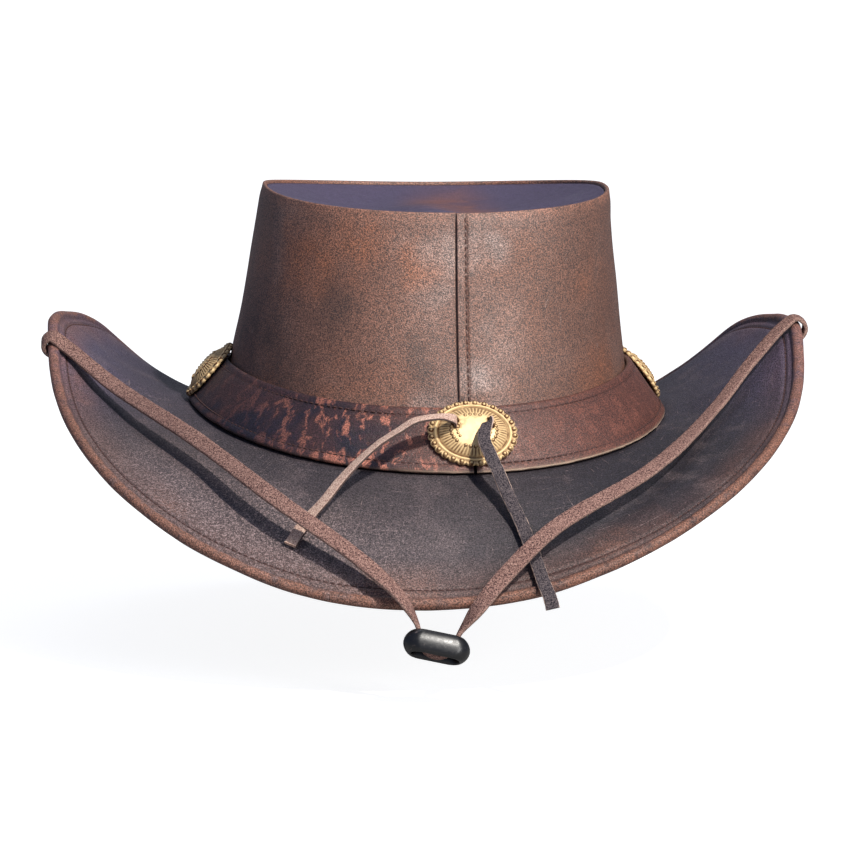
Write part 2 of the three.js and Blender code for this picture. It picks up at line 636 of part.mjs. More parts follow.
// A flat thong along a route, with a flat end. Its width is a number or a function of the place.
function thong(name, route, width, thickness, color) {
  const line = new THREE.CatmullRomCurve3(route.map((row) => new THREE.Vector3(row.x, row.y, row.z)));
  const facing = route.map((row) => new THREE.Vector3(row.fx, row.fy, row.fz).normalize());
  const faces = new THREE.CatmullRomCurve3(facing, false, 'catmullrom', 0.5);
  const widthAt = (place) => (typeof width === 'function' ? width(place) : width);
  const corner = thickness / 4;
  const outline = [
    [1, 0, corner],
    [1, -corner, thickness / 2],
    [-1, corner, thickness / 2],
    [-1, 0, corner],
    [-1, 0, -corner],
    [-1, corner, -thickness / 2],
    [1, -corner, -thickness / 2],
    [1, 0, -corner],
  ];
  const sections = divisions(line, route.length, LACE_WIDTH).map((t) => {
    const place = line.getPoint(t);
    const half = widthAt(place) / 2;
    const along = line.getTangent(t);
    const side = along.clone().cross(faces.getPoint(t)).normalize();
    const face = side.clone().cross(along).normalize();
    return outline.map(([edge, inset, up]) => place.clone()
      .addScaledVector(side, edge * half + inset)
      .addScaledVector(face, up));
  });
  return mesh(name, loft(sections, false), color, 0.8);
}

// The slider: a pill shaped ring with rounded edges, standing on the strap's loop.
function slider() {
  const straight = (SLIDER_LENGTH - SLIDER_DEPTH) / 2;
  const radius = (SLIDER_DEPTH - SLIDER_WALL) / 2;
  const edge = SLIDER_WALL / 3;
  const halfWall = SLIDER_WALL / 2;
  const halfHeight = SLIDER_HEIGHT / 2;
  const profile = [
    [halfWall, edge - halfHeight],
    [halfWall, halfHeight - edge],
    [halfWall - edge, halfHeight],
    [edge - halfWall, halfHeight],
    [-halfWall, halfHeight - edge],
    [-halfWall, edge - halfHeight],
    [edge - halfWall, -halfHeight],
    [halfWall - edge, -halfHeight],
  ];
  const sections = Array.from({ length: 26 }, (_, i) => {
    const right = i < 13;
    const turn = right ? (i - 6) * Math.PI / 12 : Math.PI + (i - 19) * Math.PI / 12;
    const shift = right ? straight : -straight;
    return profile.map(([out, up]) => new THREE.Vector3(
      shift + (radius + out) * Math.cos(turn),
      (radius + out) * Math.sin(turn),
      up,
    ));
  });
  const made = mesh('strap_slider', loft(sections, true), 0x141012, 0.3);
  made.rotation.set(-SLIDER_PITCH * DEGREE, SLIDER_TILT * DEGREE, 0, 'YXZ');
  made.position.set(...SLIDER_PLACE);
  return made;
}

const hat = new THREE.Group();
hat.add(crownSide(), crownTop(), brim(), hatBand());
hat.add(concho('concho_back', CONCHO_ANGLE * DEGREE, CONCHO_FOOT, true));
hat.add(concho('concho_left', (CONCHO_ANGLE - SIDE_CONCHO_TURN) * DEGREE, SIDE_CONCHO_FOOT, false));
hat.add(concho('concho_right', (CONCHO_ANGLE + SIDE_CONCHO_TURN) * DEGREE, SIDE_CONCHO_FOOT, false));
hat.add(thong('lace_left', LACE_LEFT_ROUTE, LACE_WIDTH, LACE_LEATHER, 0x6a4a44));
hat.add(thong('lace_right', LACE_RIGHT_ROUTE, LACE_WIDTH, LACE_LEATHER, 0x6a4a44));
hat.add(thong('chin_strap', STRAP_ROUTE, strapWidth, STRAP_LEATHER, 0x7a4a42), slider());
export default hat;
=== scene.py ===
# Dressed model of a leather bush hat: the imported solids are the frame, and each piece of the
# hat is rebuilt over them with its stitching, lapped seam, cast conchos and worn leather.
# Metres, with +Z up and the wearer's front towards +Y.

import math

import bpy
from mathutils import Matrix, Vector, noise


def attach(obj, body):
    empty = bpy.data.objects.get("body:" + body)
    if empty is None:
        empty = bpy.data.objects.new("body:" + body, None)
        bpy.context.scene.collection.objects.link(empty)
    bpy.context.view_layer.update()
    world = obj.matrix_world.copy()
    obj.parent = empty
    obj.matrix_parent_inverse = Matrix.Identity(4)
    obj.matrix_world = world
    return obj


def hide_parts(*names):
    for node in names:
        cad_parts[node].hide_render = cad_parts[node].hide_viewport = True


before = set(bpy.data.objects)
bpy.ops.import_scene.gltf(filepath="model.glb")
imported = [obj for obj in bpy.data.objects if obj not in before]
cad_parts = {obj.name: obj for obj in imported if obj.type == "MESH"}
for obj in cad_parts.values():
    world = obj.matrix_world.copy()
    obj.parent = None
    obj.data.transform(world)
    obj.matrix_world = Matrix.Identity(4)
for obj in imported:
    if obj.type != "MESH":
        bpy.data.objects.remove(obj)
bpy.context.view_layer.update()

bl_info = {
    "name": "Bush hat",
    "version": (1, 0, 0),
    "blender": (4, 5, 0),
    "location": "View3D > Sidebar > Hat",
    "description": "Builds a worn leather bush hat with a stitched band, conchos, laces and a chin strap",
    "category": "Object",
}

DEGREE = math.pi / 180
UP = Vector((0, 0, 1))

# Length of wall to a radian at the back seam, and the seam's stitches in from the lap's edge
SEAM_RADIUS = 0.09
LAP_STITCHES = 0.0036

# Places in from the rim: the row of stitches, and where the shaped edge begins
RIM_STITCHES = 0.0073
EDGE_START = 0.013

# Sections round a piece, and steps across it
PANEL_SECTIONS = 240
BRIM_SECTIONS = 420
BAND_SECTIONS = 420
BRIM_STEPS = 34
WALL_STEPS = 44

# Thickness of a concho's casting, its scallops and the points round each of them
CASTING = 0.0013
SCALLOPS = 28
SCALLOP_STEPS = 8

# Corners of the sections of a thong, a slot and the slider, and steps round one end of the slider
THONG_CORNERS = 16
SLOT_CORNERS = 24
SLIDER_CORNERS = 24
SLIDER_STEPS = 40

# Height of the rim against the angle from the middle of the back or of the front
RIM_ROWS = [
    {"angle": 0, "back": 0.0, "front": 0.0},
    {"angle": 15, "back": 0.045, "front": 0.08},
    {"angle": 30, "back": 0.195, "front": 0.28},
    {"angle": 45, "back": 0.395, "front": 0.58},
    {"angle": 60, "back": 0.6, "front": 0.89},
    {"angle": 75, "back": 0.79, "front": 0.985},
    {"angle": 90, "back": 1.0, "front": 1.0},
]

# Swell of the brim between the band and the rolled edge
BRIM_ROWS = [
    {"share": 0.0, "swell": 0.0},
    {"share": 0.22, "swell": 0.65},
    {"share": 0.45, "swell": 1.0},
    {"share": 0.7, "swell": 0.8},
    {"share": 0.9, "swell": 0.3},
]

# Swell of the crown wall beyond a straight taper, as a share of its height
WALL_ROWS = [
    {"share": 0.0, "out": 0.0},
    {"share": 0.3, "out": -0.004},
    {"share": 0.65, "out": -0.001},
    {"share": 0.93, "out": 0.004},
    {"share": 1.0, "out": 0.0},
]

# The brim's face near its rim: distance in from the rim and height above the plain surface
EDGE_ROWS = [
    {"inset": 0.0048, "height": 0.0001},
    {"inset": 0.0056, "height": 0.0004},
    {"inset": 0.0064, "height": 0.00035},
    {"inset": 0.0070, "height": -0.0001},
    {"inset": 0.0073, "height": -0.0003},
    {"inset": 0.0076, "height": -0.0001},
    {"inset": 0.0084, "height": 0.0003},
    {"inset": 0.0096, "height": 0.0002},
    {"inset": 0.0115, "height": 0.0},
]

# Worn places on the back of the crown, and pale places along its seam that are partly painted sheen:
# across, height, size, and how far each tone shows
CROWN_PATCHES = [
    {"x": -0.052, "z": 0.070, "size": 0.018, "tone": "warm", "much": 1.0},
    {"x": -0.034, "z": 0.078, "size": 0.014, "tone": "warm", "much": 0.8},
    {"x": -0.010, "z": 0.069, "size": 0.009, "tone": "warm", "much": 0.9},
    {"x": 0.035, "z": 0.072, "size": 0.012, "tone": "warm", "much": 0.6},
    {"x": 0.058, "z": 0.060, "size": 0.012, "tone": "warm", "much": 0.7},
    {"x": 0.064, "z": 0.024, "size": 0.014, "tone": "warm", "much": 0.9},
    {"x": -0.020, "z": 0.026, "size": 0.012, "tone": "warm", "much": 0.4},
    {"x": -0.043, "z": 0.050, "size": 0.013, "tone": "dark", "much": 0.9},
    {"x": -0.072, "z": 0.040, "size": 0.016, "tone": "dark", "much": 0.9},
    {"x": -0.060, "z": 0.026, "size": 0.014, "tone": "dark", "much": 0.8},
    {"x": -0.006, "z": 0.030, "size": 0.014, "tone": "dark", "much": 0.7},
    {"x": 0.056, "z": 0.073, "size": 0.009, "tone": "dark", "much": 0.6},
    {"x": 0.040, "z": 0.040, "size": 0.012, "tone": "dark", "much": 0.4},
    # Pale places along the back seam: partly rubbed grain, partly painted sheen
    {"x": 0.000, "z": 0.073, "size": 0.010, "tone": "pale", "much": 0.8},
    {"x": 0.013, "z": 0.074, "size": 0.011, "tone": "pale", "much": 1.0},
    {"x": -0.002, "z": 0.056, "size": 0.012, "tone": "pale", "much": 0.5},
    {"x": 0.014, "z": 0.022, "size": 0.013, "tone": "pale", "much": 1.0},
    {"x": 0.024, "z": 0.042, "size": 0.014, "tone": "pale", "much": 0.5},
    {"x": -0.006, "z": 0.012, "size": 0.010, "tone": "pale", "much": 0.7},
]

# A concho from its edge to its middle, as shares of the radius and of the full height
CONCHO_ROWS = [
    {"radius": 1.0, "height": 0.04, "scallop": 1.0, "flute": 0.0},
    {"radius": 1.0, "height": 0.2, "scallop": 1.0, "flute": 0.0},
    {"radius": 0.985, "height": 0.28, "scallop": 1.0, "flute": 0.0},
    {"radius": 0.955, "height": 0.31, "scallop": 0.7, "flute": 0.0},
    {"radius": 0.9, "height": 0.3, "scallop": 0.2, "flute": 0.0},
    {"radius": 0.87, "height": 0.3, "scallop": 0.0, "flute": 0.0},
    {"radius": 0.855, "height": 0.4, "scallop": 0.0, "flute": 0.0},
    {"radius": 0.835, "height": 0.44, "scallop": 0.0, "flute": 0.0},
    {"radius": 0.815, "height": 0.4, "scallop": 0.0, "flute": 0.0},
    {"radius": 0.8, "height": 0.31, "scallop": 0.0, "flute": 0.0},
    {"radius": 0.77, "height": 0.3, "scallop": 0.0, "flute": 0.0},
    {"radius": 0.745, "height": 0.42, "scallop": 0.0, "flute": 0.2},
    {"radius": 0.72, "height": 0.53, "scallop": 0.0, "flute": 0.9},
    {"radius": 0.68, "height": 0.62, "scallop": 0.0, "flute": 1.0},
    {"radius": 0.63, "height": 0.7, "scallop": 0.0, "flute": 1.0},
    {"radius": 0.58, "height": 0.77, "scallop": 0.0, "flute": 0.8},
    {"radius": 0.53, "height": 0.83, "scallop": 0.0, "flute": 0.3},
    {"radius": 0.48, "height": 0.87, "scallop": 0.0, "flute": 0.0},
    {"radius": 0.38, "height": 0.93, "scallop": 0.0, "flute": 0.0},
    {"radius": 0.26, "height": 0.97, "scallop": 0.0, "flute": 0.0},
    {"radius": 0.14, "height": 0.99, "scallop": 0.0, "flute": 0.0},
]

# Rows of dots on a concho: share of its radius, angles of the first and last dot, and number
DOT_ROWS = [
    {"reach": 0.5, "first": -38, "last": 38, "number": 7},
    {"reach": 0.37, "first": -30, "last": 30, "number": 5},
    {"reach": 0.5, "first": 142, "last": 218, "number": 7},
    {"reach": 0.37, "first": 150, "last": 210, "number": 5},
    {"reach": 0.47, "first": 70, "last": 110, "number": 4},
    {"reach": 0.5, "first": -115, "last": -65, "number": 5},
]

# The middle line of the chin strap; fx, fy and fz point away from what its back lies against.
STRAP_ROUTE = [
    {"x": -0.0003, "y": 0.098, "z": 0.006, "fx": 0, "fy": -0.9, "fz": -0.4},
    {"x": -0.044, "y": 0.0835, "z": 0.008, "fx": 0.4, "fy": -0.8, "fz": -0.4},
    {"x": -0.0755, "y": 0.04, "z": 0.01, "fx": 0.8, "fy": -0.4, "fz": -0.4},
    {"x": -0.082, "y": 0.012, "z": 0.011, "fx": 0.9, "fy": 0, "fz": -0.4},
    {"x": -0.0845, "y": 0.002, "z": 0.0055, "fx": 0.9, "fy": 0, "fz": -0.5},
    {"x": -0.091, "y": -0.001, "z": 0.0015, "fx": 0.3, "fy": 0, "fz": -0.9},
    {"x": -0.12, "y": -0.003, "z": 0.0095, "fx": -0.4, "fy": 0.1, "fz": -0.9},
    {"x": -0.147, "y": -0.008, "z": 0.0255, "fx": -0.5, "fy": 0.4, "fz": -0.7},
    {"x": -0.1543, "y": -0.0102, "z": 0.0295, "fx": -0.8, "fy": 0.3, "fz": -0.5},
    {"x": -0.155, "y": -0.012, "z": 0.0325, "fx": -0.9, "fy": -0.2, "fz": 0.3},
    {"x": -0.152, "y": -0.0135, "z": 0.035, "fx": -0.1, "fy": -0.5, "fz": 0.8},
    {"x": -0.146, "y": -0.015, "z": 0.0311, "fx": 0.1, "fy": -0.6, "fz": 0.8},
    {"x": -0.1279, "y": -0.033, "z": 0.0181, "fx": -0.1, "fy": -0.6, "fz": 0.8},
    {"x": -0.0936, "y": -0.092, "z": 0.0017, "fx": -0.3, "fy": -0.6, "fz": 0.8},
    {"x": -0.0657, "y": -0.1345, "z": -0.0148, "fx": -0.2, "fy": -0.6, "fz": 0.8},
    {"x": -0.0342, "y": -0.1555, "z": -0.0356, "fx": 0.1, "fy": -0.7, "fz": 0.7},
    {"x": -0.0204, "y": -0.1643, "z": -0.0478, "fx": 0.6, "fy": -0.5, "fz": 0.5},
    {"x": -0.0145, "y": -0.1649, "z": -0.0577, "fx": 0.9, "fy": -0.1, "fz": 0.2},
    {"x": -0.0126, "y": -0.1687, "z": -0.0657, "fx": 0.8, "fy": 0.3, "fz": 0.5},
    {"x": -0.0081, "y": -0.1696, "z": -0.0686, "fx": 0.2, "fy": 0.5, "fz": 0.9},
    {"x": -0.0029, "y": -0.1687, "z": -0.0678, "fx": -0.6, "fy": 0.3, "fz": 0.7},
    {"x": 0.0014, "y": -0.1647, "z": -0.0608, "fx": -0.9, "fy": 0, "fz": 0.3},
    {"x": 0.0089, "y": -0.1655, "z": -0.0503, "fx": -0.5, "fy": -0.7, "fz": 0.5},
    {"x": 0.0178, "y": -0.1605, "z": -0.0407, "fx": -0.2, "fy": -0.8, "fz": 0.6},
    {"x": 0.0367, "y": -0.1505, "z": -0.0246, "fx": -0.1, "fy": -0.7, "fz": 0.7},
    {"x": 0.0766, "y": -0.1175, "z": -0.0071, "fx": 0, "fy": -0.3, "fz": 0.9},
    {"x": 0.1118, "y": -0.0509, "z": 0.01, "fx": -0.5, "fy": -0.5, "fz": 0.7},
    {"x": 0.1294, "y": -0.0239, "z": 0.0249, "fx": -0.6, "fy": -0.5, "fz": 0.6},
    {"x": 0.1437, "y": -0.015, "z": 0.0387, "fx": -0.6, "fy": -0.4, "fz": 0.7},
    {"x": 0.1493, "y": -0.0133, "z": 0.0422, "fx": 0, "fy": -0.2, "fz": 1},
    {"x": 0.153, "y": -0.0128, "z": 0.0397, "fx": 0.9, "fy": -0.1, "fz": 0.4},
    {"x": 0.1528, "y": -0.0122, "z": 0.036, "fx": 0.9, "fy": 0.1, "fz": -0.4},
    {"x": 0.1455, "y": -0.0115, "z": 0.0295, "fx": 0.7, "fy": 0.1, "fz": -0.7},
    {"x": 0.12, "y": -0.01, "z": 0.0095, "fx": 0.4, "fy": 0, "fz": -0.9},
    {"x": 0.091, "y": -0.0085, "z": -0.0005, "fx": -0.3, "fy": 0, "fz": -0.9},
    {"x": 0.0845, "y": -0.005, "z": 0.0045, "fx": -0.9, "fy": 0, "fz": -0.5},
    {"x": 0.082, "y": 0.006, "z": 0.011, "fx": -0.9, "fy": 0, "fz": -0.4},
    {"x": 0.0755, "y": 0.04, "z": 0.01, "fx": -0.8, "fy": -0.4, "fz": -0.4},
    {"x": 0.044, "y": 0.0835, "z": 0.008, "fx": -0.4, "fy": -0.8, "fz": -0.4},
    {"x": 0.0003, "y": 0.098, "z": 0.006, "fx": 0, "fy": -0.9, "fz": -0.4},
]

# The two ends of the lace, from behind the back concho out through its slots
LACE_LEFT_ROUTE = [
    {"x": 0.0099, "y": -0.1057, "z": 0.0091, "fx": 0.1, "fy": -0.8, "fz": 0.5},
    {"x": 0.0063, "y": -0.106, "z": 0.0091, "fx": 0.1, "fy": -0.8, "fz": 0.5},
    {"x": 0.0041, "y": -0.1069, "z": 0.0095, "fx": 0.8, "fy": -0.5, "fz": 0.4},
    {"x": 0.0036, "y": -0.1083, "z": 0.0104, "fx": 1, "fy": 0.1, "fz": 0},
    {"x": 0.0034, "y": -0.1099, "z": 0.0115, "fx": 0.9, "fy": -0.4, "fz": 0.2},
    {"x": 0.0019, "y": -0.1125, "z": 0.0126, "fx": 0.4, "fy": -0.6, "fz": 0.7},
    {"x": -0.003, "y": -0.115, "z": 0.0135, "fx": 0, "fy": -0.3, "fz": 0.9},
    {"x": -0.0125, "y": -0.1175, "z": 0.0123, "fx": 0, "fy": -0.2, "fz": 1},
    {"x": -0.018, "y": -0.119, "z": 0.0092, "fx": -0.2, "fy": -0.2, "fz": 1},
    {"x": -0.026, "y": -0.121, "z": 0.0044, "fx": -0.3, "fy": -0.2, "fz": 0.9},
    {"x": -0.0335, "y": -0.1235, "z": -0.0017, "fx": -0.3, "fy": -0.2, "fz": 0.9},
    {"x": -0.041, "y": -0.127, "z": -0.009, "fx": -0.3, "fy": -0.3, "fz": 0.9},
    {"x": -0.047, "y": -0.13, "z": -0.016, "fx": -0.3, "fy": -0.4, "fz": 0.9},
    {"x": -0.0535, "y": -0.132, "z": -0.023, "fx": -0.2, "fy": -0.5, "fz": 0.8},
    {"x": -0.0605, "y": -0.1395, "z": -0.0315, "fx": -0.1, "fy": -0.6, "fz": 0.8},
]
LACE_RIGHT_ROUTE = [
    {"x": 0.0105, "y": -0.1056, "z": 0.0091, "fx": 0.1, "fy": -0.8, "fz": 0.5},
    {"x": 0.0141, "y": -0.1052, "z": 0.0091, "fx": 0.1, "fy": -0.8, "fz": 0.5},
    {"x": 0.0164, "y": -0.1057, "z": 0.0095, "fx": -0.6, "fy": -0.7, "fz": 0.4},
    {"x": 0.0172, "y": -0.107, "z": 0.0103, "fx": -1, "fy": -0.1, "fz": 0},
    {"x": 0.0169, "y": -0.1087, "z": 0.0111, "fx": -0.9, "fy": -0.4, "fz": 0.2},
    {"x": 0.0159, "y": -0.1114, "z": 0.011, "fx": -0.6, "fy": -0.7, "fz": 0.4},
    {"x": 0.0146, "y": -0.1141, "z": 0.0091, "fx": -0.1, "fy": -0.8, "fz": 0.6},
    {"x": 0.0138, "y": -0.1176, "z": 0.0052, "fx": 0.1, "fy": -0.8, "fz": 0.5},
    {"x": 0.0157, "y": -0.122, "z": 0, "fx": 0.1, "fy": -0.8, "fz": 0.5},
    {"x": 0.0184, "y": -0.126, "z": -0.006, "fx": 0.1, "fy": -0.8, "fz": 0.5},
    {"x": 0.0218, "y": -0.131, "z": -0.0145, "fx": 0, "fy": -0.7, "fz": 0.6},
    {"x": 0.0258, "y": -0.1375, "z": -0.0228, "fx": 0, "fy": -0.6, "fz": 0.8},
    {"x": 0.0288, "y": -0.146, "z": -0.031, "fx": 0, "fy": -0.6, "fz": 0.8},
    {"x": 0.031, "y": -0.153, "z": -0.0375, "fx": 0, "fy": -0.7, "fz": 0.7},
    {"x": 0.033, "y": -0.16, "z": -0.044, "fx": 0, "fy": -0.7, "fz": 0.7},
    {"x": 0.0346, "y": -0.1637, "z": -0.048, "fx": 0, "fy": -0.8, "fz": 0.5},
    {"x": 0.0356, "y": -0.1655, "z": -0.052, "fx": 0, "fy": -0.9, "fz": 0.3},
]


# Sizes and colours that a user may change


def length(name, default, description):
    return bpy.props.FloatProperty(
        name=name, default=default, description=description, unit="LENGTH", precision=4, min=0.0
    )


def shift(name, default, description):
    return bpy.props.FloatProperty(
        name=name, default=default, description=description, unit="LENGTH", precision=4
    )


def turn(name, degrees, description):
    return bpy.props.FloatProperty(
        name=name, default=degrees * DEGREE, description=description, subtype="ANGLE", unit="ROTATION"
    )


def watts(name, default):
    return bpy.props.FloatProperty(name=name, default=default, description="Power in watts", min=0.0)


def tone(name, red, green, blue, description):
    """A colour stated as it looks on a screen, 0 to 255."""
    linear = [((c / 255 + 0.055) / 1.055) ** 2.4 for c in (red, green, blue)]
    return bpy.props.FloatVectorProperty(
        name=name, default=linear, description=description, subtype="COLOR", size=3, min=0.0, max=1.0
    )


class CrownSizes(bpy.types.PropertyGroup):
    height: length("Height", 0.0925, "Top edge of the wall above the base plane")
    top_width: length("Top width", 0.1395, "Across the top edge, outside")
    top_length: length("Top length", 0.168, "Front to back over the top edge, outside")
    lean: shift("Lean", 0.003, "How far the top edge sits to the right of the foot")
    saddle: shift("Saddle", 0.0026, "Rise of the top edge at the sides")
    tilt: shift("Tilt", 0.0015, "Rise of the top edge at the front")
    leather: length("Leather", 0.0018, "Thickness of the wall and of the top panel")
    sink: length("Panel sink", 0.001, "Edge of the top panel below the edge of the wall")
    dish: length("Dish", 0.009, "Depth of the dish in the top panel")
    ridge: length("Ridge", 0.006, "Height of the soft ridge that runs in from the back")
    ridge_width: length("Ridge width", 0.03, "Width of the soft ridge")
    dents: length("Dents", 0.0007, "Depth of the soft dents in the wall")
    flap_angle: turn("Flap edge", 273.3, "Where the wall's leather laps over itself, at its foot")
    flap_twist: turn("Flap twist", -1.8, "How far the lap's edge turns from foot to top")
    flap_step: length("Flap step", 0.0011, "How far the lapped edge stands out")


class BrimSizes(bpy.types.PropertyGroup):
    seam_width: length("Seam width", 0.176, "Outside of the crown's foot, side to side")
    seam_length: length("Seam length", 0.211, "Outside of the crown's foot, front to back")
    seam_height: shift("Seam height", 0.0035, "Mean height of the crown's foot")
    seam_saddle: shift("Seam saddle", 0.0035, "Rise of the crown's foot at the sides")
    foot_width: length("Foot width", 0.191, "Where the band meets the brim, side to side")
    foot_length: length("Foot length", 0.227, "Where the band meets the brim, front to back")
    foot_depth: length("Foot depth", 0.0018, "Brim surface there, below the base plane")
    foot_saddle: shift("Foot saddle", 0.0072, "Rise of that line at the sides")
    foot_tilt: shift("Foot tilt", 0.0015, "How much lower that line is at the right")
    span: length("Span", 0.303, "Rim to rim, side to side")
    depth: length("Length", 0.323, "Rim to rim, front to back")
    across: shift("Shift", -0.0012, "How far the brim reaches to the left")
    rise: length("Rise", 0.041, "Rim above the base plane at the sides")
    back_drop: length("Back drop", 0.052, "Rim below the base plane at the back")
    front_drop: length("Front drop", 0.036, "Rim below the base plane at the front")
    bend_turn: turn("Bend turn", -4, "How far the droop is turned on the crown")
    roll: length("Roll", 0.003, "Swell of the brim at the front and the back")
    cup: length("Cup", 0.006, "Sag of the brim at the turned up sides")
    leather: length("Leather", 0.002, "Thickness of the brim leather")
    bead: length("Rolled edge", 0.0046, "Thickness of the rolled edge")
    waves: length("Waves", 0.0008, "Height of the uneven waves in the brim")


class TrimSizes(bpy.types.PropertyGroup):
    line_width: length("Band line width", 0.16, "Crown at the band's upper edge, side to side")
    line_length: length("Band line length", 0.196, "Crown at the band's upper edge, front to back")
    line_height: length("Band line height", 0.0195, "Mean height of the band's upper edge")
    line_saddle: shift("Band line saddle", 0.005, "Rise of that edge at the sides")
    band_leather: length("Band leather", 0.0018, "Thickness of the band")
    end_gap: length("Band end gap", 0.004, "Between the band's two ends, behind the back concho")
    seat_gap: length("Seat gap", 0.0003, "Clearance between pieces that touch")
    concho_length: length("Concho length", 0.035, "Along the band")
    concho_width: length("Concho width", 0.0275, "Across the band")
    concho_height: length("Concho height", 0.0046, "Crown of the dome above the band")
    concho_angle: turn("Concho angle", -84.5, "Place of the back concho round the band")
    concho_foot: length("Concho foot", 0.0019, "Back concho's lower edge above the band's lower edge")
    side_foot: length("Side concho foot", 0.0005, "The same for the side conchos")
    side_turn: turn("Side concho turn", 96, "From the back concho to each side one")
    slot_spacing: length("Slot spacing", 0.0136, "Between the two slots of the back concho")
    slot_height: length("Slot height", 0.0054, "Height of a slot")
    slot_width: length("Slot width", 0.0028, "Width of a slot")
    slot_raise: length("Slot raise", 0.003, "Slots above the middle of the concho")
    stitch_pitch: length("Stitch pitch", 0.0027, "From one stitch to the next")
    stitch_length: length("Stitch length", 0.0021, "Length of a stitch")
    thread: length("Thread", 0.0006, "Thickness of the thread")
    stitch_inset: length("Stitch inset", 0.0033, "Band stitches in from its edges")


class CordSizes(bpy.types.PropertyGroup):
    strap_width: length("Strap width", 0.0064, "Width of the chin strap")
    strap_squeezed: length("Strap squeezed", 0.0044, "Its width inside the slider")
    squeeze_from: length("Squeeze from", 0.009, "From the slider's middle to where the strap widens")
    squeeze_to: length("Squeeze to", 0.02, "From the slider's middle to its full width")
    strap_leather: length("Strap leather", 0.0018, "Thickness of the chin strap")
    lace_width: length("Lace width", 0.0044, "Width of the laces")
    lace_leather: length("Lace leather", 0.0012, "Thickness of the laces")
    slider_length: length("Slider length", 0.025, "Length of the slider")
    slider_depth: length("Slider depth", 0.0115, "Depth of the slider")
    slider_height: length("Slider height", 0.009, "Height of the slider")
    slider_wall: length("Slider wall", 0.003, "Between its outside and its slot")
    slider_tilt: turn("Slider tilt", 12, "How far its left end is raised")
    slider_pitch: turn("Slider pitch", 27, "How far its lower face turns to the back")
    slider_place: bpy.props.FloatVectorProperty(
        name="Slider place", default=(-0.0075, -0.168, -0.0655), subtype="XYZ", unit="LENGTH",
        size=3, description="Middle of the slider"
    )


class Finishes(bpy.types.PropertyGroup):
    crown: tone("Crown", 104, 70, 55, "Crown leather")
    crown_warm: tone("Crown, warm", 130, 78, 50, "Rubbed, orange brown places on the crown")
    # The dark tone is darkened leather, and on the crown's right side also painted shade
    crown_dark: tone("Crown, dark", 50, 33, 25, "Darkened places on the crown")
    # The pale tone is rubbed grain, and along the back seam also painted sheen
    crown_pale: tone("Crown, pale", 134, 116, 108, "Greyed, rubbed places on the crown")
    # The top panel's blue-purple tone is partly a painted reflection of the bluish sky
    top: tone("Top panel", 78, 70, 92, "Dished top panel")
    brim: tone("Brim", 50, 43, 46, "Brim leather")
    brim_pale: tone("Brim, pale", 128, 110, 108, "Scuffed grain on the brim")
    # The dark brim tone gives random dark mottles, and painted shade on the brim's right side and along
    # the left lace's edges
    brim_dark: tone("Brim, dark", 26, 23, 30, "Pits and creases on the brim")
    rim: tone("Burnished edge", 120, 80, 62, "Burnished leather of the rolled edge")
    band: tone("Band", 82, 48, 38, "Band leather")
    # The dark band tone gives random dark mottles, and painted shade on the band's left side
    band_dark: tone("Band, dark", 26, 20, 32, "Darkened places on the band")
    band_mark: tone("Band, rubbed", 168, 104, 84, "Rubbed marks on the band")
    raw: tone("Raw edge", 226, 198, 172, "Cut edge of the leather")
    thread: tone("Thread", 78, 48, 42, "Stitching thread")
    # The groove tone paints shade in stitched grooves and creases; it also darkens the thread's twist
    groove: tone("Groove", 40, 26, 26, "Bottom of a stitched groove")
    brass: tone("Brass", 228, 196, 144, "Cast brass")
    patina: tone("Patina", 86, 48, 20, "Brown in the brass's hollows")
    suede: tone("Strap", 142, 108, 98, "Flesh side of the strap")
    suede_dark: tone("Strap, dark", 58, 40, 40, "Dark fibres of the strap")
    lace: tone("Lace", 84, 76, 78, "Face of the laces")
    lace_edge: tone("Lace edge", 206, 178, 160, "Cut edge of the laces")
    slider: tone("Slider", 14, 13, 14, "Black moulding")


class StageSettings(bpy.types.PropertyGroup):
    azimuth: turn("Azimuth", -4, "Camera's bearing round the hat")
    elevation: turn("Elevation", 6.5, "Camera's height above the horizon")
    roll: turn("Roll", 0.3, "Turn of the camera about its view")
    distance: length("Distance", 1.6, "From the camera to the base plane's middle")
    focal: bpy.props.FloatProperty(name="Focal length", default=165.05, min=1.0, description="Lens in mm")
    floor_depth: length("Floor depth", 0.088, "Floor below the base plane")
    key: watts("Key light", 54.0)
    sheen: watts("Sheen light", 13.0)
    wall: watts("Backdrop light", 20.0)
    sky: bpy.props.FloatProperty(name="Room light", default=0.36, min=0.0, description="Strength")


# Shape tools


def from_rows(rows, key, value, place):
    """Smooth value between the rows of a table, level at both of its ends."""
    index = 0
    while index < len(rows) - 2 and place > rows[index + 1][key]:
        index += 1
    low, high = rows[index], rows[index + 1]

    def slope(row):
        if row <= 0 or row >= len(rows) - 1:
            return 0.0
        before, after = rows[row - 1], rows[row + 1]
        return (after[value] - before[value]) / (after[key] - before[key])

    span = high[key] - low[key]
    t = (place - low[key]) / span
    h1 = t * t * (3 - 2 * t)
    h2 = t * (1 - t) * (1 - t)
    h3 = t * t * (t - 1)
    return low[value] * (1 - h1) + high[value] * h1 + span * (slope(index) * h2 + slope(index + 1) * h3)


def oval(angle, width, depth, power):
    across = abs(2 * math.cos(angle) / width) ** power
    along = abs(2 * math.sin(angle) / depth) ** power
    radius = (across + along) ** (-1 / power)
    return radius * math.cos(angle), radius * math.sin(angle)


def radial(angle):
    return Vector((math.cos(angle), math.sin(angle), 0))


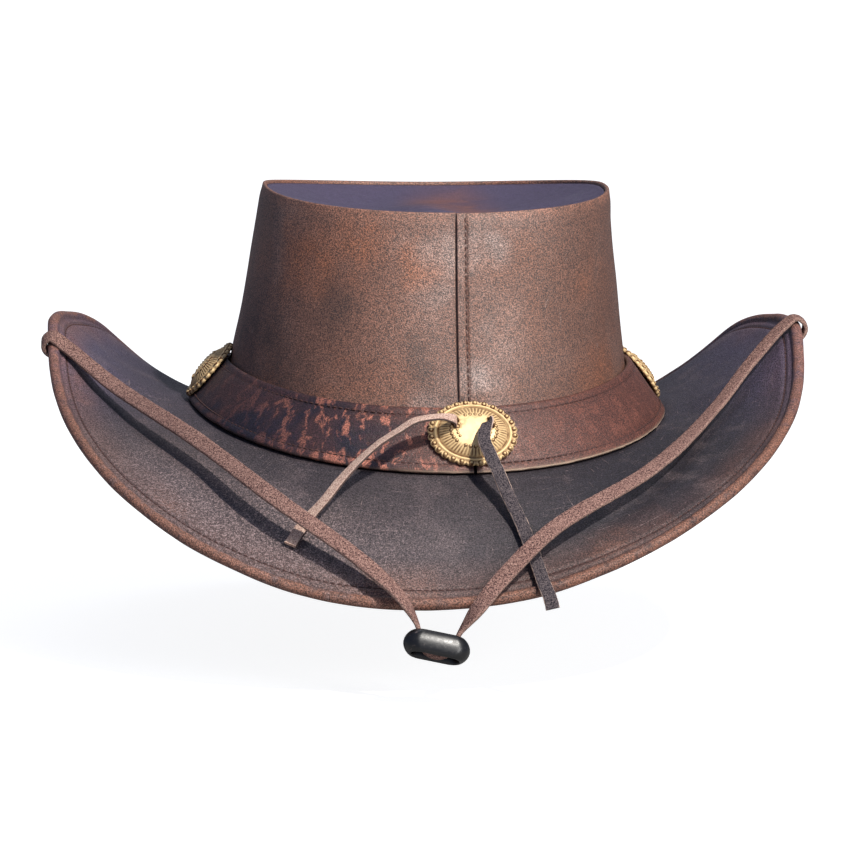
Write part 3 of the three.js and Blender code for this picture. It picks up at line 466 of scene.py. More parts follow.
def offset_line(points, angle, thickness):
    """Points moved off a line that runs outwards or down, square to it; positive is out or up."""
    out = radial(angle)
    moved = []
    for i, point in enumerate(points):
        along = points[min(i + 1, len(points) - 1)] - points[max(i - 1, 0)]
        run = along.dot(out)
        size = math.hypot(run, along.z) or 1.0
        moved.append(point - out * (thickness * along.z / size) + UP * (thickness * run / size))
    return moved


def waviness(point, scale, seed):
    """Soft unevenness between -1 and 1, with bumps about as wide as scale."""
    place = Vector(point) / scale + Vector((seed, 2.7 * seed, -1.3 * seed))
    return 1.6 * noise.noise(place) + 0.5 * noise.noise(place * 2.1)


def patch_mark(point, kind):
    """How far a tone shows at a point of the crown, from the table of worn places and painted sheen."""
    if point.y > -0.02:
        return 0.0
    warp = Vector((waviness(point, 0.014, 11.0), 0, waviness(point, 0.014, 13.0))) * 0.004
    x, z = point.x + warp.x, point.z + warp.z
    most = 0.0
    for row in CROWN_PATCHES:
        if row["tone"] == kind:
            away = math.hypot(x - row["x"], z - row["z"])
            most = max(most, row["much"] * bump(away, 1.35 * row["size"]))
    return most


def bump(distance, width):
    """One at nought, falling smoothly to nothing at the width."""
    t = min(1.0, abs(distance) / width)
    return (1 - t * t) ** 2


class HatShape:
    """The hat's surfaces at an angle round it, from the sizes in the scene."""

    top_power = 2.4
    head_power = 2.1
    brim_power = 2.35

    def __init__(self, scene):
        self.crown = scene.hat_crown
        self.brim = scene.hat_brim
        self.trim = scene.hat_trim

    def band_line(self, angle):
        t = self.trim
        x, y = oval(angle, t.line_width, t.line_length, self.head_power)
        return Vector((x, y, t.line_height + t.line_saddle * math.cos(2 * angle)))

    def top_edge(self, angle):
        c = self.crown
        x, y = oval(angle, c.top_width, c.top_length, self.top_power)
        height = c.height + c.saddle * math.cos(2 * angle) + c.tilt * math.sin(angle)
        return Vector((x + c.lean, y, height))

    def seam(self, angle):
        b = self.brim
        x, y = oval(angle, b.seam_width, b.seam_length, self.head_power)
        return Vector((x, y, b.seam_height + b.seam_saddle * math.cos(2 * angle)))

    def foot(self, angle):
        b = self.brim
        x, y = oval(angle, b.foot_width, b.foot_length, self.head_power)
        height = b.foot_saddle * math.cos(2 * angle) - b.foot_tilt * math.cos(angle) - b.foot_depth
        return Vector((x, y, height))

    def frontness(self, angle):
        """From -1 at the middle of the back to 1 at the middle of the front."""
        return math.sin(angle - self.brim.bend_turn * (3 - math.sin(angle)) / 4)

    def rim_rise(self, angle):
        front = self.frontness(angle)
        from_middle = math.acos(min(1.0, abs(front))) / DEGREE
        return from_rows(RIM_ROWS, "angle", "back" if front < 0 else "front", from_middle)

    def rim(self, angle):
        b = self.brim
        x, y = oval(angle, b.span, b.depth, self.brim_power)
        drop = b.back_drop if self.frontness(angle) < 0 else b.front_drop
        return Vector((x + b.across, y, -drop + (b.rise + drop) * self.rim_rise(angle)))

    def brim_face(self, angle, shares):
        """Points of the brim's upper face: share 0 is the band's lower edge and 1 the rim."""
        foot, rim, rise = self.foot(angle), self.rim(angle), self.rim_rise(angle)
        swell = self.brim.roll * (1 - rise) - self.brim.cup * rise
        points = []
        for place in shares:
            point = foot.lerp(rim, place)
            if place < 0.97:
                much = from_rows(BRIM_ROWS, "share", "swell", min(place, 0.9))
                point.z += swell * much * min(1.0, (1.03 - place) * 8)
            points.append(point)
        return points

    def wall(self, angle, place):
        """The crown wall's outside: place 0 is the band's upper edge and 1 the top edge."""
        point = self.band_line(angle).lerp(self.top_edge(angle), place)
        return point + radial(angle) * (from_rows(WALL_ROWS, "share", "out", place) * self.crown.height)

    def dent(self, point, place):
        """Soft unevenness of the wall, fading out at its foot and its top."""
        fade = min(1.0, place * 4) * min(1.0, (1 - place) * 6)
        return self.crown.dents * waviness(point, 0.045, 1.0) * fade

    def lap_step(self, run):
        """How far the lapped leather stands out, at a run from the lap's edge."""
        return self.crown.flap_step * bump(max(0.0, run - 0.004), 0.03) if run > 0 else 0.0

    def band_back(self, angle):
        """The band's back at its upper and lower edges, just off the wall and the brim."""
        t = self.trim
        lift = t.seat_gap + 0.0003
        wall = offset_line([self.band_line(angle), self.wall(angle, 0.3)], angle, -lift)[0]
        foot = self.foot(angle) + Vector((0, 0, lift))
        return wall, foot

    def band_face(self, angle, place):
        """The band's outside: place 0 is its upper edge and 1 its lower one."""
        outer = offset_line(self.band_back(angle), angle, self.trim.band_leather)
        return outer[0].lerp(outer[1], place)

    def band_normal(self, angle):
        along = self.band_face(angle + 0.02, 0.5) - self.band_face(angle - 0.02, 0.5)
        down = self.band_face(angle, 1) - self.band_face(angle, 0)
        return down.cross(along).normalized()

    def concho_frame(self, angle, lift):
        """x along the band, y up across it and z out of it, at a concho's seat."""
        t = self.trim
        normal = self.band_normal(angle)
        up = self.band_face(angle, 0) - self.band_face(angle, 1)
        place = 1 - (t.concho_width / 2 + lift) / up.length
        up.normalize()
        along = up.cross(normal).normalized()
        seat = self.band_face(angle, place) + normal * t.seat_gap
        matrix = Matrix((along, up, normal)).transposed().to_4x4()
        matrix.translation = seat
        return matrix


# Mesh tools


def skin(sections, closed, across=None, along=None):
    """Vertices, faces and face corners' UVs of a body lofted through rings of points."""
    count = len(sections[0])
    verts = [point for ring in sections for point in ring]
    total = len(sections)
    faces, uvs = [], []
    along = along or [i * 0.01 for i in range(total + 1)]
    across = across or [j * 0.01 for j in range(count + 1)]
    for i in range(total if closed else total - 1):
        here, there = i * count, ((i + 1) % total) * count
        for j in range(count):
            k = (j + 1) % count
            faces.append((here + j, there + j, there + k, here + k))
            uvs.append(
                ((along[i], across[j]), (along[i + 1], across[j]),
                 (along[i + 1], across[j + 1]), (along[i], across[j + 1]))
            )
    if not closed:
        last = (total - 1) * count
        faces.append(tuple(range(count - 1, -1, -1)))
        uvs.append(tuple((along[0], across[j]) for j in range(count - 1, -1, -1)))
        faces.append(tuple(last + j for j in range(count)))
        uvs.append(tuple((along[-2], across[j]) for j in range(count)))
    return verts, faces, uvs


def ring_lengths(ring):
    """Running length round a closed ring of points."""
    lengths = [0.0]
    for j, point in enumerate(ring):
        lengths.append(lengths[-1] + (point - ring[(j + 1) % len(ring)]).length)
    return lengths


def volume(verts, faces):
    """Six times the volume inside the faces, below nought when they face inwards."""
    total = 0.0
    for face in faces:
        a = verts[face[0]]
        for j in range(1, len(face) - 1):
            total += a.dot(verts[face[j]].cross(verts[face[j + 1]]))
    return total


def piece(name, verts, faces, material, uvs=None, marks=None):
    """A smooth closed mesh with its faces outwards."""
    if volume(verts, faces) < 0:
        faces = [tuple(reversed(face)) for face in faces]
        uvs = [tuple(reversed(face)) for face in uvs] if uvs else None
    mesh = bpy.data.meshes.new(name)
    mesh.from_pydata([tuple(v) for v in verts], [], faces)
    if uvs:
        layer = mesh.uv_layers.new(name="surface")
        flat = [value for face in uvs for corner in face for value in corner]
        layer.data.foreach_set("uv", flat)
    for key, values in (marks or {}).items():
        layer = mesh.attributes.new(key, "FLOAT", "POINT")
        layer.data.foreach_set("value", values)
    mesh.materials.append(material)
    mesh.shade_smooth()
    mesh.update()
    made = bpy.data.objects.new(name, mesh)
    bpy.context.scene.collection.objects.link(made)
    return made


def stand_for(made, slot, *nodes):
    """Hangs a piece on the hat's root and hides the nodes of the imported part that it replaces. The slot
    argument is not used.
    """
    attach(made, "root")
    if nodes:
        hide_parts(*nodes)
    return made


def settled(made):
    """The object with its modifiers turned into a plain mesh."""
    graph = bpy.context.evaluated_depsgraph_get()
    mesh = bpy.data.meshes.new_from_object(made.evaluated_get(graph))
    made.modifiers.clear()
    made.data = mesh
    return made


# Routes of the strap and laces


def smooth_route(rows):
    """A smooth line through the rows: functions giving place, direction and face at a share."""
    points = [Vector((row["x"], row["y"], row["z"])) for row in rows]
    faces = [Vector((row["fx"], row["fy"], row["fz"])).normalized() for row in rows]

    def ends(values, i):
        before = values[i - 1] if i > 0 else values[0] * 2 - values[1]
        after = values[i + 2] if i + 2 < len(values) else values[-1] * 2 - values[-2]
        return before, values[i], values[i + 1], after

    def cubic(p1, p2, t1, t2, t):
        return (p1 + t1 * t + (p1 * -3 + p2 * 3 - t1 * 2 - t2) * t ** 2
                + (p1 * 2 - p2 * 2 + t1 + t2) * t ** 3)

    def place(at):
        run = min(at * (len(points) - 1), len(points) - 1 - 1e-9)
        i = int(run)
        p0, p1, p2, p3 = ends(points, i)
        d0, d1, d2 = (max((b - a).length ** 0.5, 1e-5) for a, b in ((p0, p1), (p1, p2), (p2, p3)))
        t1 = ((p1 - p0) / d0 - (p2 - p0) / (d0 + d1) + (p2 - p1) / d1) * d1
        t2 = ((p2 - p1) / d1 - (p3 - p1) / (d1 + d2) + (p3 - p2) / d2) * d1
        return cubic(p1, p2, t1, t2, run - i)

    def face(at):
        run = min(at * (len(points) - 1), len(points) - 1 - 1e-9)
        i = int(run)
        p0, p1, p2, p3 = ends(faces, i)
        return cubic(p1, p2, (p2 - p0) * 0.5, (p3 - p1) * 0.5, run - i)

    return place, face, len(points) - 1


def thong(name, rows, width_at, thickness, material, step, ripple):
    """A flat thong with softened edges along a route, the points that it follows and its length.

    Its width is a function of the place and of the run up to there.
    """
    place, face, spans = smooth_route(rows)
    shares = [0.0]
    for i in range(spans):
        low, high = i / spans, (i + 1) / spans
        parts = max(3, round((place(high) - place(low)).length / step))
        shares += [low + (high - low) * (k + 1) / parts for k in range(parts)]
    corners = range(THONG_CORNERS)
    outline = []
    for k in corners:
        angle = 2 * math.pi * (k + 0.5) / THONG_CORNERS
        c, s = math.cos(angle), math.sin(angle)
        wide, thick = 0.5 * abs(c) ** 0.35, thickness / 2 * abs(s) ** 0.5
        outline.append((math.copysign(wide, c), math.copysign(thick, s)))
    perimeter = [0.0]
    for k in corners:
        a, b = outline[k], outline[(k + 1) % THONG_CORNERS]
        perimeter.append(perimeter[-1] + math.hypot((a[0] - b[0]) * 0.005, a[1] - b[1]))
    sections, along, points = [], [], []
    run = 0.0
    for i, at in enumerate(shares):
        here = place(at)
        if points:
            run += (here - points[-1]).length
        points.append(here)
        along.append(run)
        ahead = place(min(1.0, at + 1e-4)) - place(max(0.0, at - 1e-4))
        ahead.normalize()
        side = ahead.cross(face(at)).normalized()
        up = side.cross(ahead).normalized()
        wide = width_at(here, run) * (1 + ripple * waviness((run, 0, 0), 0.02, 3.1))
        rough = [0.00012 * waviness((run, j * 0.5, 0), 0.0016, 5.2) for j in corners]
        sections.append([here + side * (a * wide + r) + up * b for (a, b), r in zip(outline, rough)])
    along.append(along[-1])
    verts, faces, uvs = skin(sections, False, perimeter, along)
    edge = [abs(outline[j][0]) / 0.5 for _ in sections for j in corners]
    start = [bump(at, 0.011) for at in along[:-1] for _ in corners]
    made = piece(name, verts, faces, material, uvs, {"edge": edge, "start": start})
    return made, points, run


# Node tools


class Tree:
    """Short ways to place and join the nodes of one tree."""

    def __init__(self, tree):
        self.tree = tree

    def add(self, kind, inputs=None, **settings):
        node = self.tree.nodes.new(kind)
        for key, value in settings.items():
            setattr(node, key, value)
        for key, value in (inputs or {}).items():
            self.put(node.inputs[key], value)
        return node

    def put(self, socket, value):
        if isinstance(value, bpy.types.NodeSocket):
            self.tree.links.new(value, socket)
        elif isinstance(value, bpy.types.Node):
            self.tree.links.new(value.outputs[0], socket)
        elif hasattr(socket.default_value, "__len__") and len(socket.default_value) == 4:
            socket.default_value = (*value[:3], 1.0)
        else:
            socket.default_value = value

    def math(self, operation, a, b=0.0, clamp=False):
        return self.add("ShaderNodeMath", {0: a, 1: b}, operation=operation, use_clamp=clamp).outputs[0]

    def times(self, a, b, clamp=False):
        return self.math("MULTIPLY", a, b, clamp=clamp)

    def plus(self, a, b, clamp=False):
        return self.math("ADD", a, b, clamp=clamp)

    def most(self, a, b):
        return self.math("MAXIMUM", a, b)

    def span(self, value, low, high, out_low=0.0, out_high=1.0, smooth=True):
        kind = "SMOOTHSTEP" if smooth else "LINEAR"
        inputs = {"Value": value, "From Min": low, "From Max": high}
        inputs.update({"To Min": out_low, "To Max": out_high})
        return self.add("ShaderNodeMapRange", inputs, interpolation_type=kind).outputs[0]

    def mix(self, factor, a, b, blend="MIX"):
        node = self.tree.nodes.new("ShaderNodeMix")
        node.data_type = "RGBA"
        node.blend_type = blend
        self.put(node.inputs[0], factor)
        self.put(node.inputs[6], a)
        self.put(node.inputs[7], b)
        return node.outputs[2]

    def noise(self, vector, scale, detail=2.0, roughness=0.5, distortion=0.0):
        inputs = {"Vector": vector, "Scale": scale, "Detail": detail}
        inputs.update({"Roughness": roughness, "Distortion": distortion})
        return self.add("ShaderNodeTexNoise", inputs).outputs[0]

    def use(self, group, inputs):
        node = self.tree.nodes.new("ShaderNodeGroup")
        node.node_tree = group
        for key, value in inputs.items():
            self.put(node.inputs[key], value)
        return node


def shader_group(name, inputs, outputs, fill):
    """A shader node group with named sockets, built once."""
    tree = bpy.data.node_groups.new(name, "ShaderNodeTree")
    kinds = {"float": "NodeSocketFloat", "vector": "NodeSocketVector", "color": "NodeSocketColor"}
    for key, kind, value in inputs:
        socket = tree.interface.new_socket(key, in_out="INPUT", socket_type=kinds[kind])
        if value is not None:
            socket.default_value = value
    for key, kind in outputs:
        tree.interface.new_socket(key, in_out="OUTPUT", socket_type=kinds[kind])
    entry = tree.nodes.new("NodeGroupInput")
    leave = tree.nodes.new("NodeGroupOutput")
    fill(Tree(tree), entry.outputs, leave.inputs)
    return tree


def grain_group():
    """Leather grain: small pebbles with creases between them, and light and dark specks, the light ones
    partly pale grain and partly painted glints.
    """

    def fill(t, given, out):
        place = given["Vector"]
        even = t.noise(place, 260.0, 2.0)
        stir = t.add("ShaderNodeTexNoise", {"Vector": place, "Scale": 300.0})
        shake = t.add("ShaderNodeVectorMath", {0: stir.outputs[1]}, operation="SCALE")
        t.put(shake.inputs["Scale"], 0.0016)
        bent = t.add("ShaderNodeVectorMath", {0: place, 1: shake.outputs[0]}, operation="ADD")
        inputs = {"Vector": bent.outputs[0], "Scale": given["Scale"]}
        cells = t.add("ShaderNodeTexVoronoi", inputs, feature="DISTANCE_TO_EDGE")
        creases = t.span(cells.outputs["Distance"], 0.0, 0.22)
        fine = t.noise(place, 2600.0, 3.0, 0.65)
        height = t.plus(t.times(creases, 0.7), t.times(fine, 0.3))
        t.put(out["Height"], t.times(height, t.span(even, 0.3, 0.7, 0.6, 1.0)))
        speck = t.noise(place, 1900.0, 2.0, 0.7)
        t.put(out["Speck"], t.span(speck, 0.4, 0.68, smooth=False))

    return shader_group(
        "leather_grain",
        [("Vector", "vector", None), ("Scale", "float", 900.0)],
        [("Height", "float"), ("Speck", "float")],
        fill,
    )


def patches_group():
    """Cloudy patches with feathered edges, for rubbed and darkened places."""

    def fill(t, given, out):
        cloud = t.noise(given["Vector"], given["Scale"], 5.0, 0.62, 0.4)
        low = t.math("SUBTRACT", given["Level"], given["Softness"])
        high = t.plus(given["Level"], given["Softness"])
        t.put(out["Mask"], t.span(cloud, low, high))

    return shader_group(
        "rubbed_patches",
        [("Vector", "vector", None), ("Scale", "float", 20.0), ("Level", "float", 0.5),
         ("Softness", "float", 0.08)],
        [("Mask", "float")],
        fill,
    )


def scratches_group():
    """Fine scratches along and askew to the piece, from its surface map."""

    def fill(t, given, out):
        way = given["Map"]
        stretch = t.add("ShaderNodeMapping", {"Vector": way, "Scale": (60.0, 2600.0, 1.0)})
        lines = t.noise(stretch.outputs[0], 1.0, 3.0, 0.6, 0.6)
        inputs = {"Vector": way, "Scale": (1500.0, 90.0, 1.0), "Rotation": (0, 0, 0.5)}
        cross = t.add("ShaderNodeMapping", inputs)
        strokes = t.noise(cross.outputs[0], 1.0, 2.0, 0.6, 0.8)
        t.put(out["Mask"], t.most(t.span(lines, 0.62, 0.74), t.span(strokes, 0.66, 0.76)))

    return shader_group("fine_scratches", [("Map", "vector", None)], [("Mask", "float")], fill)


def start_material(name):
    material = bpy.data.materials.new(name)
    material.use_nodes = True
    t = Tree(material.node_tree)
    shader = material.node_tree.nodes["Principled BSDF"]
    where = t.add("ShaderNodeTexCoord").outputs["Object"]
    return material, t, shader, where


def finish_leather(t, shader, colour, roughness, height, strength, distance):
    t.put(shader.inputs["Base Color"], colour)
    t.put(shader.inputs["Roughness"], roughness)
    relief = t.add("ShaderNodeBump", {"Strength": strength, "Distance": distance, "Height": height})
    t.put(shader.inputs["Normal"], relief.outputs[0])


def attribute(t, name):
    return t.add("ShaderNodeAttribute", attribute_name=name, attribute_type="GEOMETRY").outputs["Fac"]


def surface_map(t):
    return t.add("ShaderNodeUVMap", uv_map="surface").outputs[0]


class Materials:
    """Every finish of the hat, made when it is first asked for."""

    def __init__(self):
        self.made = {}
        self.groups = {}

    def group(self, build):
        if build.__name__ not in self.groups:
            self.groups[build.__name__] = build()
        return self.groups[build.__name__]

    def get(self, build):
        if build.__name__ not in self.made:
            self.made[build.__name__] = build(bpy.context.scene.hat_finish)
        return self.made[build.__name__]


STORE = Materials()


def specked(t, colour, speck, low, high):
    """The colour, darker and lighter by the grain's specks; the lighter specks are partly painted glints.
    """
    light = t.span(speck, 0.0, 1.0, low, high, smooth=False)
    grey = t.add("ShaderNodeCombineColor", {0: light, 1: light, 2: light}).outputs[0]
    return t.mix(1.0, colour, grey, "MULTIPLY")


def moved(t, where, place, size=(1.0, 1.0, 1.0)):
    return t.add("ShaderNodeMapping", {"Vector": where, "Location": place, "Scale": size}).outputs[0]


def axes_of(t, where):
    return t.add("ShaderNodeSeparateXYZ", {"Vector": where}).outputs


def patches(t, where, scale, level, softness):
    """A mask of cloudy patches, about one to every 1 / scale metres."""
    inputs = {"Vector": where, "Scale": scale, "Level": level, "Softness": softness}
    return t.use(STORE.group(patches_group), inputs)


def crown_leather(finish):
    material, t, shader, where = start_material("crown leather")
    grain = t.use(STORE.group(grain_group), {"Vector": where, "Scale": 1300.0})
    dark = patches(t, where, 17.0, 0.6, 0.12)
    pale = patches(t, moved(t, where, (0.31, 0.12, 0.2)), 22.0, 0.6, 0.12)
    warm = patches(t, moved(t, where, (-0.2, 0.43, 0.1)), 26.0, 0.6, 0.12)
    broken = t.span(t.noise(where, 75.0, 5.0, 0.6), 0.35, 0.62, 0.35, 1.0)
    # Painted shade: the crown grows darker towards its right side, through the dark tone
    right = t.span(axes_of(t, where)[0], -0.002, 0.05, 0.0, 0.45)
    dark = t.most(t.times(dark, 0.5), t.times(attribute(t, "dark"), broken))
    dark = t.most(dark, right)
    # Pale: random rubbed patches, and the table's pale places, which along the seam are partly painted
    # sheen
    pale = t.most(t.times(pale, 0.3), t.times(attribute(t, "pale"), broken))
    warm = t.most(t.times(warm, 0.5), t.times(attribute(t, "warm"), broken))
    colour = t.mix(t.times(warm, 0.75), finish.crown, finish.crown_warm)
    colour = t.mix(t.times(pale, 0.7), colour, finish.crown_pale)
    colour = t.mix(t.times(dark, 0.85), colour, finish.crown_dark)
    worn = t.times(attribute(t, "edge"), t.span(t.noise(where, 120.0, 4.0), 0.35, 0.6, 0.2, 0.8))
    colour = t.mix(worn, colour, finish.rim)
    tall = moved(t, where, (0, 0, 0), (1.0, 1.0, 0.25))
    lines = t.span(t.noise(tall, 420.0, 4.0, 0.6, 1.2), 0.66, 0.76, 0.0, 0.45)
    colour = t.mix(lines, colour, finish.crown_pale)
    colour = specked(t, colour, grain.outputs["Speck"], 0.28, 2.5)
    # Painted shadow along the lap's edge and painted shade in the seam's stitched groove
    colour = t.mix(t.times(attribute(t, "groove"), 0.9), colour, finish.groove)
    rough = t.math("SUBTRACT", t.span(grain.outputs["Speck"], 0.0, 1.0, 0.64, 0.5), t.times(pale, 0.1))
    t.put(shader.inputs["Specular IOR Level"], 0.85)
    finish_leather(t, shader, colour, rough, grain.outputs["Height"], 0.45, 0.0003)
    return material


def top_leather(finish):
    material, t, shader, where = start_material("top leather")
    grain = t.use(STORE.group(grain_group), {"Vector": where, "Scale": 1200.0})
    cloud = patches(t, where, 34.0, 0.5, 0.12)
    rubbed = t.times(attribute(t, "warm"), t.span(cloud, 0.0, 1.0, 0.3, 0.7))
    # The panel's blue-purple base is partly a painted sky reflection
    colour = t.mix(rubbed, finish.top, finish.crown_warm)
    colour = specked(t, colour, grain.outputs["Speck"], 0.6, 1.4)
    t.put(shader.inputs["Specular IOR Level"], 0.3)
    rough = t.span(cloud, 0.0, 1.0, 0.66, 0.5)
    finish_leather(t, shader, colour, rough, grain.outputs["Height"], 0.4, 0.0003)
    return material


def brim_leather(finish):
    material, t, shader, where = start_material("brim leather")
    grain = t.use(STORE.group(grain_group), {"Vector": where, "Scale": 1150.0})
    scratch = t.use(STORE.group(scratches_group), {"Map": surface_map(t)})
    cloud = patches(t, where, 14.0, 0.52, 0.16)
    smudge = patches(t, where, 55.0, 0.6, 0.1)
    ruddy = patches(t, moved(t, where, (0.2, 0.6, 0.3)), 24.0, 0.55, 0.12)
    axes = axes_of(t, where)
    # Painted shade: the brim grows darker towards its right side; the cloud adds random dark mottles
    right = t.span(axes[0], -0.01, 0.07, 0.0, 0.92)
    shade = t.most(t.times(cloud, 0.4), right)
    colour = t.mix(shade, finish.brim, finish.brim_dark)
    # Painted reflection of the bluish sky: the brim's higher parts are mixed towards the top panel's tone
    colour = t.mix(t.span(axes[2], -0.005, 0.035, 0.0, 0.7), colour, finish.top)
    outer = t.times(attribute(t, "outer"), t.span(ruddy, 0.0, 1.0, 0.25, 0.55))
    colour = t.mix(outer, colour, finish.rim)
    colour = t.mix(t.times(smudge, 0.14), colour, finish.brim_pale)
    colour = t.mix(t.times(scratch, 0.65), colour, finish.brim_pale)
    torn = t.span(t.noise(where, 900.0, 4.0, 0.8), 0.42, 0.62, 0.1, 0.85)
    scuffed = t.times(attribute(t, "scuff"), torn)
    colour = t.mix(scuffed, colour, finish.brim_pale)
    uneven = t.span(t.noise(where, 140.0, 5.0, 0.65), 0.3, 0.7, -0.55, 0.15)
    worn = t.plus(attribute(t, "edge"), uneven)
    colour = t.mix(t.span(worn, 0.3, 0.9, 0.0, 0.7), colour, finish.rim)
    colour = specked(t, colour, grain.outputs["Speck"], 0.35, 2.4)
    # Painted shade in the stitched groove and the crease
    colour = t.mix(t.times(attribute(t, "groove"), 0.55), colour, finish.groove)
    rough = t.span(grain.outputs["Speck"], 0.0, 1.0, 0.66, 0.46)
    height = t.math("SUBTRACT", grain.outputs["Height"], t.times(scratch, 0.25))
    t.put(shader.inputs["Specular IOR Level"], 0.45)
    finish_leather(t, shader, colour, rough, height, 0.5, 0.0003)
    return material


def band_leather(finish):
    material, t, shader, where = start_material("band leather")
    grain = t.use(STORE.group(grain_group), {"Vector": where, "Scale": 1400.0})
    x = axes_of(t, where)[0]
    # Painted shade: the band grows darker and bluer towards its left side; the cloud adds random dark
    # mottles
    left = t.span(x, 0.012, -0.04)
    cloud = patches(t, where, 34.0, 0.5, 0.1)
    marks = patches(t, moved(t, where, (0.5, 0.1, 0.3), (1.6, 1.6, 0.7)), 130.0, 0.56, 0.06)
    dark = t.plus(t.times(left, 0.62), t.times(cloud, 0.4), clamp=True)
    colour = t.mix(t.times(dark, t.span(left, 0.0, 1.0, 0.3, 1.0)), finish.band, finish.band_dark)
    nearby = t.span(t.math("ABSOLUTE", t.plus(x, 0.028)), 0.05, 0.0, 0.1, 0.8)
    colour = t.mix(t.times(marks, nearby), colour, finish.band_mark)
    colour = specked(t, colour, grain.outputs["Speck"], 0.4, 2.2)
    side = t.span(t.plus(x, t.times(t.noise(where, 60.0), 0.05)), 0.0, 0.05, 0.08, 0.9)
    colour = t.mix(t.times(attribute(t, "raw"), side), colour, finish.raw)
    # Painted shade in the stitched grooves
    colour = t.mix(t.times(attribute(t, "groove"), 0.3), colour, finish.groove)
    t.put(shader.inputs["Specular IOR Level"], 0.5)
    rough = t.span(grain.outputs["Speck"], 0.0, 1.0, 0.58, 0.4)
    finish_leather(t, shader, colour, rough, grain.outputs["Height"], 0.4, 0.0003)
    return material


def cast_brass(finish):
    material, t, shader, where = start_material("cast brass")
    hollow = attribute(t, "hollow")
    dull = t.noise(where, 420.0, 5.0, 0.65)
    grime = t.times(hollow, t.span(dull, 0.25, 0.6, 0.55, 1.0), clamp=True)
    spot = t.times(t.span(t.noise(where, 180.0, 4.0, 0.6), 0.56, 0.72), 0.4)
    colour = t.mix(t.most(grime, spot), finish.brass, finish.patina)
    t.put(shader.inputs["Metallic"], 0.3)
    rough = t.plus(t.times(grime, 0.3), t.span(dull, 0.3, 0.7, 0.5, 0.62))
    finish_leather(t, shader, colour, rough, dull, 0.15, 0.0002)
    return material


def rough_thong(name, finish, base, dark, fleck_share, edge_tone, edge_share):
    """A fibrous thong with pale flecks, its own tone along the edges and a rubbed start."""
    material, t, shader, where = start_material(name)
    fibres = t.noise(where, 1900.0, 3.0, 0.75, 0.6)
    fine = t.noise(where, 3600.0, 3.0, 0.7)
    tufts = t.plus(t.times(fibres, 0.7), t.times(fine, 0.3))
    colour = t.mix(t.span(tufts, 0.54, 0.44), base, dark)
    colour = t.mix(t.span(tufts, 0.53, 0.64, 0.0, fleck_share), colour, finish.lace_edge)
    colour = t.mix(attribute(t, "start"), colour, finish.rim)
    edge = t.span(attribute(t, "edge"), 0.9, 1.0, 0.0, edge_share)
    colour = t.mix(t.times(edge, t.span(fibres, 0.3, 0.5, 0.5, 1.0)), colour, edge_tone)
    t.put(shader.inputs["Specular IOR Level"], 0.2)
    finish_leather(t, shader, colour, 0.9, tufts, 0.7, 0.0004)
    return material


def suede(finish):
    return rough_thong("strap suede", finish, finish.suede, finish.suede_dark, 0.4, finish.lace_edge, 0.15)


def lace_leather(finish):
    return rough_thong("lace leather", finish, finish.lace, finish.brim_dark, 0.12, finish.lace_edge, 1.0)


def lace_flesh(finish):
    # Painted shade: the left lace's edges are darkened with the dark brim tone
    return rough_thong("lace flesh", finish, finish.lace_edge, finish.suede, 0.3, finish.brim_dark, 0.9)


def slider_black(finish):
    material, t, shader, where = start_material("slider black")
    scuff = t.noise(where, 900.0, 4.0, 0.6, 1.0)
    colour = t.mix(t.span(scuff, 0.62, 0.74, 0.0, 0.35), finish.slider, finish.brim_pale)
    rough = t.span(scuff, 0.3, 0.7, 0.3, 0.42)
    finish_leather(t, shader, colour, rough, t.noise(where, 1500.0, 2.0), 0.08, 0.0002)
    return material


def waxed_thread(finish):
    material, t, shader, where = start_material("waxed thread")
    twist = t.noise(where, 2200.0, 2.0)
    colour = t.mix(t.span(twist, 0.45, 0.65), finish.thread, finish.groove)
    finish_leather(t, shader, colour, t.span(twist, 0.3, 0.7, 0.6, 0.75), twist, 0.4, 0.0002)
    return material


def floor_white(finish):
    """White to the camera, and dim to everything else, so that it doesn't light the hat."""
    material, t, shader, where = start_material("floor white")
    seen = t.add("ShaderNodeLightPath").outputs["Is Camera Ray"]
    t.put(shader.inputs["Base Color"], (0.35, 0.35, 0.35))
    t.put(shader.inputs["Roughness"], 0.9)
    t.put(shader.inputs["Emission Color"], t.mix(seen, (0.0, 0.0, 0.0), (1.0, 1.0, 1.0)))
    t.put(shader.inputs["Emission Strength"], 0.9)
    return material


# Geometry Nodes


def geometry_group(name, inputs):
    """A Geometry Nodes group with named sockets: its tree, what it is given and what it puts out."""
    tree = bpy.data.node_groups.new(name, "GeometryNodeTree")
    kinds = {"float": "NodeSocketFloat", "material": "NodeSocketMaterial"}
    tree.interface.new_socket("Geometry", in_out="INPUT", socket_type="NodeSocketGeometry")
    for key, kind in inputs:
        tree.interface.new_socket(key, in_out="INPUT", socket_type=kinds[kind])
    tree.interface.new_socket("Geometry", in_out="OUTPUT", socket_type="NodeSocketGeometry")
    entry, leave = tree.nodes.new("NodeGroupInput"), tree.nodes.new("NodeGroupOutput")
    return Tree(tree), entry.outputs, leave.inputs


